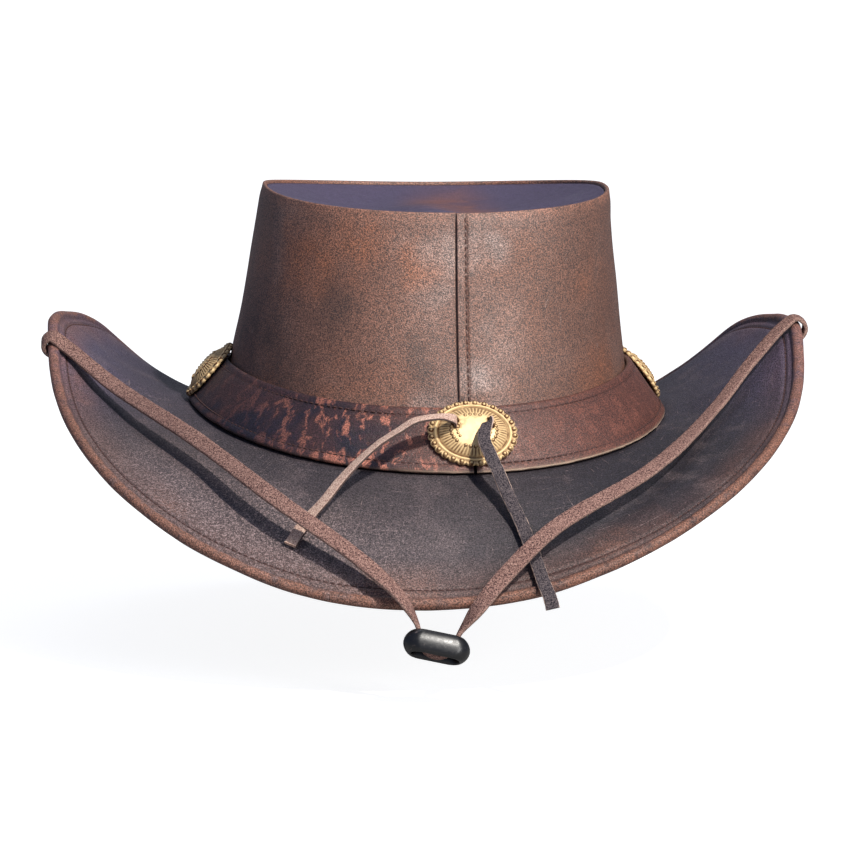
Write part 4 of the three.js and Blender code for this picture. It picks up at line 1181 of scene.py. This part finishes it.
def scattered(t, given, out, shape, scale, inputs):
    """A scaled copy of a shape on each of the points, smooth and painted."""
    sized = t.add("GeometryNodeTransform", {"Geometry": shape.outputs[0]})
    size = t.add("ShaderNodeCombineXYZ", {i: value for i, value in enumerate(scale)})
    t.put(sized.inputs["Scale"], size.outputs[0])
    points = t.add("GeometryNodeInstanceOnPoints", {"Instance": sized.outputs[0], **inputs})
    real = t.add("GeometryNodeRealizeInstances", {"Geometry": points.outputs[0]})
    smooth = t.add("GeometryNodeSetShadeSmooth", {"Geometry": real.outputs[0]})
    inputs = {"Geometry": smooth.outputs[0], "Material": given["Material"]}
    t.put(out["Geometry"], t.add("GeometryNodeSetMaterial", inputs).outputs[0])
    return t.tree


def stitches_tree():
    """A stitch of thread at every pitch along a line."""
    t, given, out = geometry_group(
        "stitch_row",
        [("Pitch", "float"), ("Stitch length", "float"), ("Thread", "float"), ("Material", "material")],
    )
    line = t.add("GeometryNodeMeshToCurve", {"Mesh": given["Geometry"]})
    inputs = {"Curve": line.outputs[0], "Length": given["Pitch"]}
    spaced = t.add("GeometryNodeResampleCurve", inputs, mode="LENGTH")
    way = t.add("GeometryNodeInputTangent")
    turned = t.add("FunctionNodeAlignRotationToVector", {"Vector": way.outputs[0]}, axis="Z")
    stitch = t.add("GeometryNodeMeshUVSphere", {"Segments": 8, "Rings": 6, "Radius": 0.5})
    scale = (given["Thread"], given["Thread"], given["Stitch length"])
    inputs = {"Points": spaced.outputs[0], "Rotation": turned.outputs[0]}
    return scattered(t, given, out, stitch, scale, inputs)


def beads_tree():
    """A small domed bead on every point of a mesh."""
    t, given, out = geometry_group("bead_on_points", [("Bead", "float"), ("Material", "material")])
    ball = t.add("GeometryNodeMeshIcoSphere", {"Radius": 1.0, "Subdivisions": 2})
    return scattered(t, given, out, ball, [given["Bead"]] * 3, {"Points": given["Geometry"]})


def grown(name, points, edges, build, settings):
    """An object made by a Geometry Nodes tree from points or lines."""
    mesh = bpy.data.meshes.new(name)
    mesh.from_pydata([tuple(p) for p in points], edges, [])
    made = bpy.data.objects.new(name, mesh)
    bpy.context.scene.collection.objects.link(made)
    tree = STORE.group(build)
    modifier = made.modifiers.new(name, "NODES")
    modifier.node_group = tree
    for item in tree.interface.items_tree:
        if item.item_type == "SOCKET" and item.in_out == "INPUT" and item.name in settings:
            modifier[item.identifier] = settings[item.name]
    made.update_tag()
    return settled(made)


def stitch_row(name, points, closed, slot):
    """Stitches along a line of points, in a piece of their own."""
    t = bpy.context.scene.hat_trim
    edges = [(i, i + 1) for i in range(len(points) - 1)]
    if closed:
        edges.append((len(points) - 1, 0))
    settings = {"Pitch": t.stitch_pitch, "Stitch length": t.stitch_length, "Thread": t.thread}
    settings["Material"] = STORE.get(waxed_thread)
    return stand_for(grown(name, points, edges, stitches_tree, settings), slot)


# Pieces


def even_angles(count):
    return [2 * math.pi * i / count for i in range(count)]


class HatOperator(bpy.types.Operator):
    """Base of the hat's operators."""

    bl_options = {"REGISTER", "UNDO"}


class HAT_OT_crown(HatOperator):
    """The crown wall with its lapped back seam, and the dished top panel"""

    bl_idname = "hat.crown"
    bl_label = "Crown"

    def execute(self, context):
        hat = HatShape(context.scene)
        c = hat.crown
        base = []
        angle = c.flap_angle - math.pi
        stop = c.flap_angle + math.pi
        while angle < stop - 1e-6:
            base.append(angle)
            far = abs(angle + 1e-9 - c.flap_angle)
            angle += 0.0016 if far < 0.05 else (0.006 if far < 0.12 else 0.018)
        sections, edge, groove, along = [], [], [], [0.0]
        for i, at in enumerate(base):
            off = at - c.flap_angle
            run = off * SEAM_RADIUS
            fade = max(0.0, 1 - abs(off) / 0.7)
            foot, line = hat.seam(at), hat.band_line(at)
            outer = [foot.lerp(line, k) for k in (0.0, 0.35, 0.7)]
            # Painted shadow along the lap's edge, and painted shade in the groove of its stitches
            seam_groove = max(bump(run + 0.0001, 0.0006), 0.25 * bump(run - LAP_STITCHES, 0.0008))
            for k in range(WALL_STEPS + 1):
                place = k / WALL_STEPS
                angle_here = at + c.flap_twist * place * fade
                point = hat.wall(angle_here, place)
                lift = hat.lap_step(run) * min(1.0, max(0.0, run) / 0.00025)
                lift -= 0.0005 * bump(run - LAP_STITCHES, 0.0011)
                lift -= 0.0004 * bump(run + 0.0002, 0.0006) * (run <= 0)
                lift += hat.dent(point, place)
                ease = min(1.0, place / 0.08) * min(1.0, (1 - place) / 0.03)
                outer.append(point + radial(angle_here) * (lift * max(0.25, ease)))
            outer.reverse()
            inner = offset_line(outer, at, -c.leather)[::-1]
            rim_out, rim_in = outer[0], inner[-1]
            middle = rim_out.lerp(rim_in, 0.5)
            out = (rim_out - rim_in).normalized()
            half = (rim_out - rim_in).length / 2
            crest = []
            for degrees in (150, 120, 90, 60, 30):
                across, above = math.cos(degrees * DEGREE), math.sin(degrees * DEGREE)
                crest.append(middle + out * half * across + UP * half * 0.9 * above)
            inner = inner[::3] + ([inner[-1]] if (len(inner) - 1) % 3 else [])
            ring = outer + inner + crest
            sections.append(ring)
            top = hat.top_edge(at + c.flap_twist * fade)
            edge += [bump(max(0.0, top.z - point.z - 0.0004), 0.0035) for point in ring]
            groove += [seam_groove] * (WALL_STEPS + 1) + [0.0] * (len(ring) - WALL_STEPS - 1)
            if i:
                along.append(along[-1] + (line - hat.band_line(base[i - 1])).length)
        along.append(along[-1] + 0.0016)
        verts, faces, uvs = skin(sections, True, ring_lengths(sections[0]), along)
        marks = {"edge": edge, "groove": groove}
        for kind in ("warm", "dark", "pale"):
            marks[kind] = [patch_mark(point, kind) for point in verts]
        made = piece("crown_wall", verts, faces, STORE.get(crown_leather), uvs, marks)
        stand_for(made, "crown_leather", "crown_side")
        self.top_panel(hat)
        return {"FINISHED"}

    def top_panel(self, hat):
        c = hat.crown
        inset = c.leather + 0.00015
        level = c.height - c.sink
        rings = [0.02 + 0.98 * (i / 60) ** 0.8 for i in range(61)]

        def surface(angle, ring):
            off = (angle - c.flap_angle + math.pi) % (2 * math.pi) - math.pi
            run = (off - c.flap_twist * max(0.0, 1 - abs(off) / 0.7)) * SEAM_RADIUS
            wall = hat.wall(angle, 1 - c.sink / c.height)
            edge = wall - radial(angle) * (inset - 0.3 * hat.lap_step(run))
            x = c.lean + (edge.x - c.lean) * ring
            y = edge.y * ring
            ridge = math.exp(-((2 * x / c.ridge_width) ** 2)) * min(1.0, max(0.0, 0.6 - y / c.top_length))
            sink = c.dish * (1 - ring ** 3) - c.ridge * ridge * (1 - ring ** 8)
            rough = 0.0009 * waviness((x, y, 0), 0.035, 4.0) * (1 - ring ** 6)
            return Vector((x, y, level + (edge.z - level) * ring - sink + rough))

        sections = []
        for angle in even_angles(PANEL_SECTIONS):
            upper = [surface(angle, ring) for ring in rings]
            lower = [point - UP * c.leather for point in upper]
            sections.append(upper + lower[::-1])
        verts, faces, uvs = skin(sections, True)
        count = len(sections[0])
        faces = [f for f in faces if not {f[0] % count, f[3] % count} == {0, count - 1}]
        faces.append(tuple(i * count for i in reversed(range(PANEL_SECTIONS))))
        faces.append(tuple(i * count + count - 1 for i in range(PANEL_SECTIONS)))
        warm = [bump(math.hypot(v.x - 0.012, (v.y - 0.03) * 0.35), 0.026) for v in verts]
        made = piece("top_panel", verts, faces, STORE.get(top_leather), None, {"warm": warm})
        stand_for(made, "crown_leather", "crown_top")


class HAT_OT_brim(HatOperator):
    """The brim, from its sewn inner edge to its rolled and stitched rim"""

    bl_idname = "hat.brim"
    bl_label = "Brim"

    def execute(self, context):
        hat = HatShape(context.scene)
        b, gap = hat.brim, hat.trim.seat_gap
        radius = b.bead / 2
        insets = [row["inset"] for row in reversed(EDGE_ROWS)]
        edge_heights = [row["height"] for row in reversed(EDGE_ROWS)]
        heights = [0.0] * (BRIM_STEPS + 1) + edge_heights
        under_heights = [0.0] * (BRIM_STEPS + 1) + [0.6 * height for height in edge_heights]
        groove_at = BRIM_STEPS + 1 + insets.index(RIM_STITCHES)
        sections, along = [], [0.0]
        marks = {"edge": [], "groove": [], "scuff": [], "outer": []}
        stitch_top, stitch_below = [], []
        for angle in even_angles(BRIM_SECTIONS):
            out_flat = radial(angle)
            foot, rim = hat.foot(angle), hat.rim(angle)
            reach = (rim - foot).length
            shares = [k / BRIM_STEPS * (1 - EDGE_START / reach) for k in range(BRIM_STEPS + 1)]
            shares += [1 - inset / reach for inset in insets]
            line = hat.brim_face(angle, shares)
            for j, point in enumerate(line):
                inside = min(1.0, shares[j] * 5) * min(1.0, (1 - shares[j]) * 5)
                line[j] = point + UP * (b.waves * waviness(point, 0.05, 7.0) * inside)
            slope = line[-1] - line[-3]
            out = (out_flat * slope.dot(out_flat) + UP * slope.z).normalized()
            up = out_flat * (-out.z) + UP * out.dot(out_flat)
            under_line = offset_line(line, angle, -b.leather)
            line = [point + up * height for point, height in zip(line, heights)]
            under_line = [point - up * height for point, height in zip(under_line, under_heights)]
            bead = rim - out * radius - up * (b.leather / 2)
            swell = 1 + 0.05 * waviness(bead, 0.02, 9.0)
            arc = []
            for degrees in range(155, -156, -10):
                turned = out * math.cos(degrees * DEGREE) + up * math.sin(degrees * DEGREE)
                arc.append(bead + turned * (radius * (swell if -120 < degrees < 120 else 1.0)))
            inner = hat.seam(angle) + out_flat * gap
            valley = hat.seam(angle).lerp(foot, 0.5)
            valley.z = min(valley.z, foot.z + 0.0005) - 0.0008
            below = [valley - UP * b.leather, inner - UP * b.leather]
            ring = [inner, valley] + line + arc + under_line[::-2] + below
            sections.append(ring)
            ruddy = 0.5 if math.cos(angle) > 0.55 else 1.0
            for point in ring:
                inset = (rim - point).dot(out)
                # Painted shade in the crease behind the rolled edge and in the stitched groove
                crease = 0.3 * bump(inset - 0.0046, 0.0005)
                marks["edge"].append(max(0.0, min(1.0, (0.0052 - inset) / 0.0024)))
                marks["groove"].append(bump(inset - RIM_STITCHES, 0.0006) + crease)
                marks["scuff"].append(bump(angle - 4.15, 0.75) * bump(inset - 0.02, 0.038))
                marks["outer"].append(bump(max(0.0, inset - 0.004), 0.02) * ruddy)
            stitch_top.append(line[groove_at] + up * 0.00018)
            stitch_below.append(under_line[groove_at] - up * 0.00018)
            middle = foot.lerp(rim, 0.6)
            if len(sections) > 1:
                along.append(along[-1] + (middle - before).length)
            before = middle
        along.append(along[-1] + 0.002)
        verts, faces, uvs = skin(sections, True, ring_lengths(sections[0]), along)
        made = piece("brim_leather", verts, faces, STORE.get(brim_leather), uvs, marks)
        stand_for(made, "brim_leather", "brim")
        stitch_row("rim_stitches", stitch_top, True, "brim_leather")
        stitch_row("rim_stitches_below", stitch_below, True, "brim_leather")
        return {"FINISHED"}


class HAT_OT_band(HatOperator):
    """The hat band with its raw lower edge and two rows of stitches, and the back seam's stitches"""

    bl_idname = "hat.band"
    bl_label = "Hat band"

    def execute(self, context):
        hat = HatShape(context.scene)
        t = hat.trim
        perimeter = math.pi * (hat.brim.foot_width + hat.brim.foot_length) / 2
        half = math.pi * 0.3 * t.end_gap / perimeter
        start = t.concho_angle + half
        sweep = 2 * math.pi - 2 * half
        sections, raw, groove, along = [], [], [], [0.0]
        upper_row, lower_row = [], []
        for i in range(BAND_SECTIONS + 1):
            angle = start + sweep * i / BAND_SECTIONS
            wall, foot = hat.band_back(angle)
            wide = (wall - foot).length
            row = t.stitch_inset / wide
            places = [0.0, 0.02, 0.05, 0.09]
            places += [row - 0.02, row, row + 0.02]
            places += [row + 0.02 + (1 - 2 * row - 0.04) * k / 8 for k in range(1, 8)]
            places += [1 - row - 0.02, 1 - row, 1 - row + 0.02, 0.91, 0.95, 0.98, 1.0]
            places = sorted(set(places))
            high, low = hat.band_face(angle, 0), hat.band_face(angle, 1)
            normal = (high - wall).normalized()
            face, grooves = [], []
            for place in places:
                from_edge = min(place, 1 - place) * wide
                dip = 0.0002 * bump(from_edge - t.stitch_inset, 0.0009)
                rounding = 0.0005 * (1 - min(1.0, from_edge / 0.0009)) ** 2
                wave = 0.00035 * waviness(high.lerp(low, place), 0.03, 5.0)
                face.append(high.lerp(low, place) + normal * (wave - dip - rounding))
                # Painted shade in the stitched groove
                grooves.append(bump(from_edge - t.stitch_inset, 0.0008))
            down = (low - high).normalized()
            face[-1] += down * (0.00025 * waviness(low, 0.006, 6.0))
            corners = [wall + (face[0] - wall) * 0.6, face[-1] + (foot - face[-1]) * 0.45]
            back = [foot, wall.lerp(foot, 0.66), wall.lerp(foot, 0.33)]
            sections.append([wall, corners[0]] + face + [corners[1]] + back)
            raw += [0.1, 0.1] + [0.95 * bump(1 - place, 0.024) for place in places] + [0.45, 0.1, 0.0, 0.0]
            groove += [0.0, 0.0] + grooves + [0.0] * 4
            upper_row.append(high.lerp(low, row) - normal * 0.00005)
            lower_row.append(high.lerp(low, 1 - row) - normal * 0.00005)
            if i:
                along.append(along[-1] + (foot - before).length)
            before = foot
        along.append(along[-1])
        verts, faces, uvs = skin(sections, False, ring_lengths(sections[0]), along)
        marks = {"raw": raw, "groove": groove}
        made = piece("band_leather", verts, faces, STORE.get(band_leather), uvs, marks)
        stand_for(made, "band_leather", "hat_band")
        stitch_row("band_stitches_above", upper_row[3:-3], False, "band_leather")
        stitch_row("band_stitches_below", lower_row[3:-3], False, "band_leather")
        c = hat.crown
        seam_row = []
        for k in range(41):
            place = 0.015 + 0.955 * k / 40
            angle = c.flap_angle + c.flap_twist * place + LAP_STITCHES / SEAM_RADIUS
            point = hat.wall(angle, place)
            seam_row.append(point + radial(angle) * (c.flap_step - 0.00035 + hat.dent(point, place)))
        stitch_row("back_seam_stitches", seam_row, False, "crown_leather")
        return {"FINISHED"}


class HAT_OT_conchos(HatOperator):
    """The three cast conchos, the back one with its two slots"""

    bl_idname = "hat.conchos"
    bl_label = "Conchos"

    def execute(self, context):
        t = context.scene.hat_trim
        hat = HatShape(context.scene)
        self.one(hat, "back_concho", "concho_back", hat.concho_frame(t.concho_angle, t.concho_foot), True)
        for side, sign in (("left", -1), ("right", 1)):
            place = hat.concho_frame(t.concho_angle + sign * t.side_turn, t.side_foot)
            self.one(hat, f"{side}_concho", f"concho_{side}", place, False)
        return {"FINISHED"}

    def one(self, hat, name, node, frame_here, slotted):
        t = hat.trim
        count = SCALLOPS * SCALLOP_STEPS
        a, b, high = t.concho_length / 2, t.concho_width / 2, t.concho_height
        verts, hollow = [], []

        def put(reach, angle, z, dirt):
            verts.append(Vector((reach * a * math.cos(angle), reach * b * math.sin(angle), z)))
            hollow.append(dirt)

        for row in CONCHO_ROWS:
            ring_dirt = bump(row["radius"] - 0.775, 0.05) + 0.9 * bump(row["radius"] - 0.885, 0.035)
            for angle in even_angles(count):
                notch = 1 - abs(math.sin(SCALLOPS * angle / 2)) ** 0.6
                reach = row["radius"] * (1 - 0.05 * row["scallop"] * notch)
                flute = row["flute"] * 0.5 * (1 + math.cos(2 * SCALLOPS * angle))
                dirt = min(1.0, ring_dirt + 1.2 * flute + 0.6 * notch * row["scallop"])
                put(reach, angle, row["height"] * high - 0.0004 * flute, dirt)
        under = 0.97 * high - CASTING
        for reach, z in ((0.4, under), (0.84, 0.3 * high - CASTING), (0.96, 0.0)):
            for angle in even_angles(count):
                put(reach, angle, z, 0.6)
        starts = list(range(0, len(verts), count))
        front, back = starts[:len(CONCHO_ROWS)], starts[len(CONCHO_ROWS):]
        pairs = [*zip(front, front[1:]), *zip(back, back[1:]), (back[-1], 0)]
        faces = []
        for low, top in pairs:
            for i in range(count):
                k = (i + 1) % count
                faces.append((low + i, low + k, top + k, top + i))
        crown, below = len(verts), len(verts) + 1
        put(0, 0, high, 0.0)
        put(0, 0, under, 0.6)
        for i in range(count):
            k = (i + 1) % count
            faces.append((front[-1] + i, front[-1] + k, crown))
            faces.append((back[0] + k, back[0] + i, below))
        made = piece(name, verts, faces, STORE.get(cast_brass), None, {"hollow": hollow})
        if slotted:
            self.cut_slots(made, t)
        made.data.transform(frame_here)
        stand_for(made, "concho_brass", node)
        self.beads(name, frame_here, t)

    def cut_slots(self, made, t):
        n = SLOT_CORNERS
        cutters = []
        for side in (-1, 1):
            ring = []
            for angle in even_angles(n):
                c, s = math.cos(angle), math.sin(angle)
                ring.append((
                    side * t.slot_spacing / 2 + t.slot_width / 2 * math.copysign(abs(c) ** 0.5, c),
                    t.slot_raise + t.slot_height / 2 * math.copysign(abs(s) ** 0.5, s),
                ))
            verts = [Vector((x, y, z)) for z in (-0.004, 0.012) for x, y in ring]
            faces = [(k, (k + 1) % n, n + (k + 1) % n, n + k) for k in range(n)]
            faces += [tuple(range(n - 1, -1, -1)), tuple(range(n, 2 * n))]
            cutter = piece(f"slot cutter {side}", verts, faces, STORE.get(cast_brass))
            cutters.append(cutter)
            modifier = made.modifiers.new("slot", "BOOLEAN")
            modifier.operation = "DIFFERENCE"
            modifier.solver = "EXACT"
            modifier.object = cutter
        settled(made)
        for cutter in cutters:
            bpy.data.objects.remove(cutter)

    def beads(self, name, frame_here, t):
        """Beads in the scallops and dots on the face, each in a dark ring of its own."""
        a, b, high = t.concho_length / 2, t.concho_width / 2, t.concho_height

        def at(reach, angle, z):
            return Vector((reach * a * math.cos(angle), reach * b * math.sin(angle), z))

        beads = [at(0.925, 2 * math.pi * (i + 0.5) / SCALLOPS, 0.34 * high) for i in range(SCALLOPS)]
        dots = []
        for row in DOT_ROWS:
            reach = row["reach"]
            height = (0.99 - 0.6 * reach ** 2.4) * high - 0.0001
            for i in range(row["number"]):
                angle = (row["first"] + (row["last"] - row["first"]) * i / (row["number"] - 1)) * DEGREE
                dots.append(at(reach, angle, height))
        for suffix, places, drop, radius, dirt in (
            ("_beads", beads, 0.0, 0.0006, 0.1),
            ("_dots", dots, 0.0, 0.00046, 0.1),
            ("_dot_rings", dots, 0.0007, 0.00104, 1.0),
            ("_bead_rings", beads, 0.0008, 0.00125, 1.0),
        ):
            lowered = [place - UP * drop for place in places]
            settings = {"Bead": radius, "Material": STORE.get(cast_brass)}
            made = grown(name + suffix, lowered, [], beads_tree, settings)
            layer = made.data.attributes.new("hollow", "FLOAT", "POINT")
            layer.data.foreach_set("value", [dirt] * len(made.data.vertices))
            made.data.transform(frame_here)
            stand_for(made, "concho_brass")


class HAT_OT_laces(HatOperator):
    """The two ends of the lace, out through the back concho's slots"""

    bl_idname = "hat.laces"
    bl_label = "Laces"

    def execute(self, context):
        s = context.scene.hat_cords

        def width_at(place, run):
            return s.lace_width * (1 + 0.16 * min(1.0, max(0.0, (run - 0.014) / 0.008)))

        for name, node, rows, leather in (
            ("left_lace", "lace_left", LACE_LEFT_ROUTE, lace_flesh),
            ("right_lace", "lace_right", LACE_RIGHT_ROUTE, lace_leather),
        ):
            made, points, run = thong(
                name, rows, width_at, s.lace_leather, STORE.get(leather), 0.0007, 0.02
            )
            stand_for(made, "lace_leather", node)
        return {"FINISHED"}


class HAT_OT_strap(HatOperator):
    """The chin strap's whole loop and the slider that it hangs in"""

    bl_idname = "hat.strap"
    bl_label = "Chin strap"

    def execute(self, context):
        s = context.scene.hat_cords
        ring = self.slider(s)
        middle = Vector(s.slider_place)

        def width_at(place, run):
            out = (place - middle).length - s.squeeze_from
            t = min(1.0, max(0.0, out / (s.squeeze_to - s.squeeze_from)))
            return s.strap_squeezed + (s.strap_width - s.strap_squeezed) * t * t * (3 - 2 * t)

        made, points, run = thong(
            "chin_strap", STRAP_ROUTE, width_at, s.strap_leather, STORE.get(suede), 0.0015, 0.03
        )
        stand_for(made, "strap_leather", "chin_strap")
        return {"FINISHED"}

    def slider(self, s):
        straight = (s.slider_length - s.slider_depth) / 2
        radius = (s.slider_depth - s.slider_wall) / 2
        sections = []
        for i in range(2 * SLIDER_STEPS):
            end = 1 if i < SLIDER_STEPS else -1
            turned = (i % SLIDER_STEPS - (SLIDER_STEPS - 1) / 2) * math.pi / SLIDER_STEPS
            across, ahead = end * math.cos(turned), end * math.sin(turned)
            ring = []
            for angle in even_angles(SLIDER_CORNERS):
                c, d = math.cos(angle), math.sin(angle)
                out = radius + s.slider_wall / 2 * c
                middle = end * straight * (1 - 0.22 * d * d)
                ring.append(Vector((middle + out * across, out * ahead, s.slider_height / 2 * d)))
            sections.append(ring)
        verts, faces, uvs = skin(sections, True)
        made = piece("slider_ring", verts, faces, STORE.get(slider_black), uvs)
        turned = Matrix.Rotation(s.slider_tilt, 4, "Y") @ Matrix.Rotation(-s.slider_pitch, 4, "X")
        made.data.transform(Matrix.Translation(s.slider_place) @ turned)
        return stand_for(made, "slider", "strap_slider")


class HAT_OT_stage(HatOperator):
    """The white floor, the lights and the camera"""

    bl_idname = "hat.stage"
    bl_label = "Stage"

    def execute(self, context):
        scene = context.scene
        s = scene.hat_stage
        data = bpy.data.cameras.new("view")
        data.lens = s.focal
        data.sensor_width = 36.0
        data.sensor_fit = "HORIZONTAL"
        data.shift_x = 0.0014
        data.shift_y = -0.0111
        data.clip_end = 60.0
        camera = bpy.data.objects.new("view", data)
        scene.collection.objects.link(camera)
        a, e = s.azimuth, s.elevation
        place = Vector((math.sin(a) * math.cos(e), -math.cos(a) * math.cos(e), math.sin(e))) * s.distance
        facing = place.to_track_quat("Z", "Y").to_matrix().to_4x4()
        camera.matrix_world = Matrix.Translation(place) @ facing @ Matrix.Rotation(s.roll, 4, "Z")
        scene.camera = camera

        flat, bend = 1.6, 1.4
        profile = [(-4.0, 0.0), (flat, 0.0)]
        for degrees in range(6, 91, 6):
            c, d = math.cos(degrees * DEGREE), math.sin(degrees * DEGREE)
            profile.append((flat + bend * d, bend * (1 - c)))
        profile.append((flat + bend, 5.0))
        verts = [(x, y, z - s.floor_depth) for y, z in profile for x in (-6.0, 6.0)]
        faces = [(2 * i, 2 * i + 1, 2 * i + 3, 2 * i + 2) for i in range(len(profile) - 1)]
        mesh = bpy.data.meshes.new("floor")
        mesh.from_pydata(verts, [], faces)
        mesh.materials.append(STORE.get(floor_white))
        mesh.shade_smooth()
        floor = bpy.data.objects.new("floor", mesh)
        scene.collection.objects.link(floor)

        self.lamp(scene, "key", (0.68, -1.28, 1.5), (0, 0, 0), 0.1, s.key, (1.0, 0.96, 0.9))
        self.lamp(scene, "sheen", (0.95, -1.4, 0.55), (0, 0, 0.03), 0.6, s.sheen, (1.0, 0.98, 0.96))
        self.lamp(scene, "wall", (0, 0.9, 2.6), (0, 3.0, 0.4), 1.6, s.wall, (1.0, 1.0, 1.0))
        scene.view_settings.view_transform = "Standard"
        world = bpy.data.worlds.new("room")
        world.use_nodes = True
        sky = world.node_tree.nodes["Background"]
        sky.inputs["Color"].default_value = (0.45, 0.6, 1.0, 1.0)
        sky.inputs["Strength"].default_value = s.sky
        scene.world = world
        return {"FINISHED"}

    def lamp(self, scene, name, place, aim, size, power, colour):
        data = bpy.data.lights.new(name, "AREA")
        data.shape = "DISK"
        data.size = size
        data.energy = power
        data.color = colour
        lamp = bpy.data.objects.new(name, data)
        away = Vector(place) - Vector(aim)
        lamp.matrix_world = Matrix.Translation(place) @ away.to_track_quat("Z", "Y").to_matrix().to_4x4()
        scene.collection.objects.link(lamp)


class HAT_PT_panel(bpy.types.Panel):
    """The hat's pieces, in the order in which they are built"""

    bl_label = "Bush hat"
    bl_idname = "HAT_PT_panel"
    bl_space_type = "VIEW_3D"
    bl_region_type = "UI"
    bl_category = "Hat"

    def draw(self, context):
        for operator in OPERATORS:
            self.layout.operator(operator.bl_idname)
        for group in ("hat_crown", "hat_brim", "hat_trim", "hat_cords", "hat_finish", "hat_stage"):
            box = self.layout.box()
            values = getattr(context.scene, group)
            for key in values.__annotations__:
                box.prop(values, key)


OPERATORS = (
    HAT_OT_stage,
    HAT_OT_strap,
    HAT_OT_laces,
    HAT_OT_crown,
    HAT_OT_brim,
    HAT_OT_band,
    HAT_OT_conchos,
)
GROUPS = {
    "hat_crown": CrownSizes,
    "hat_brim": BrimSizes,
    "hat_trim": TrimSizes,
    "hat_cords": CordSizes,
    "hat_finish": Finishes,
    "hat_stage": StageSettings,
}


def register():
    for made in (*GROUPS.values(), *OPERATORS, HAT_PT_panel):
        bpy.utils.register_class(made)
    for key, made in GROUPS.items():
        setattr(bpy.types.Scene, key, bpy.props.PointerProperty(type=made))


def unregister():
    for key in GROUPS:
        delattr(bpy.types.Scene, key)
    for made in (HAT_PT_panel, *reversed(OPERATORS), *reversed(GROUPS.values())):
        bpy.utils.unregister_class(made)


def main():
    register()
    bpy.ops.hat.stage()
    bpy.ops.hat.strap()
    bpy.ops.hat.laces()
    bpy.ops.hat.crown()
    bpy.ops.hat.brim()
    bpy.ops.hat.band()
    bpy.ops.hat.conchos()


if __name__ == "__main__":
    main()
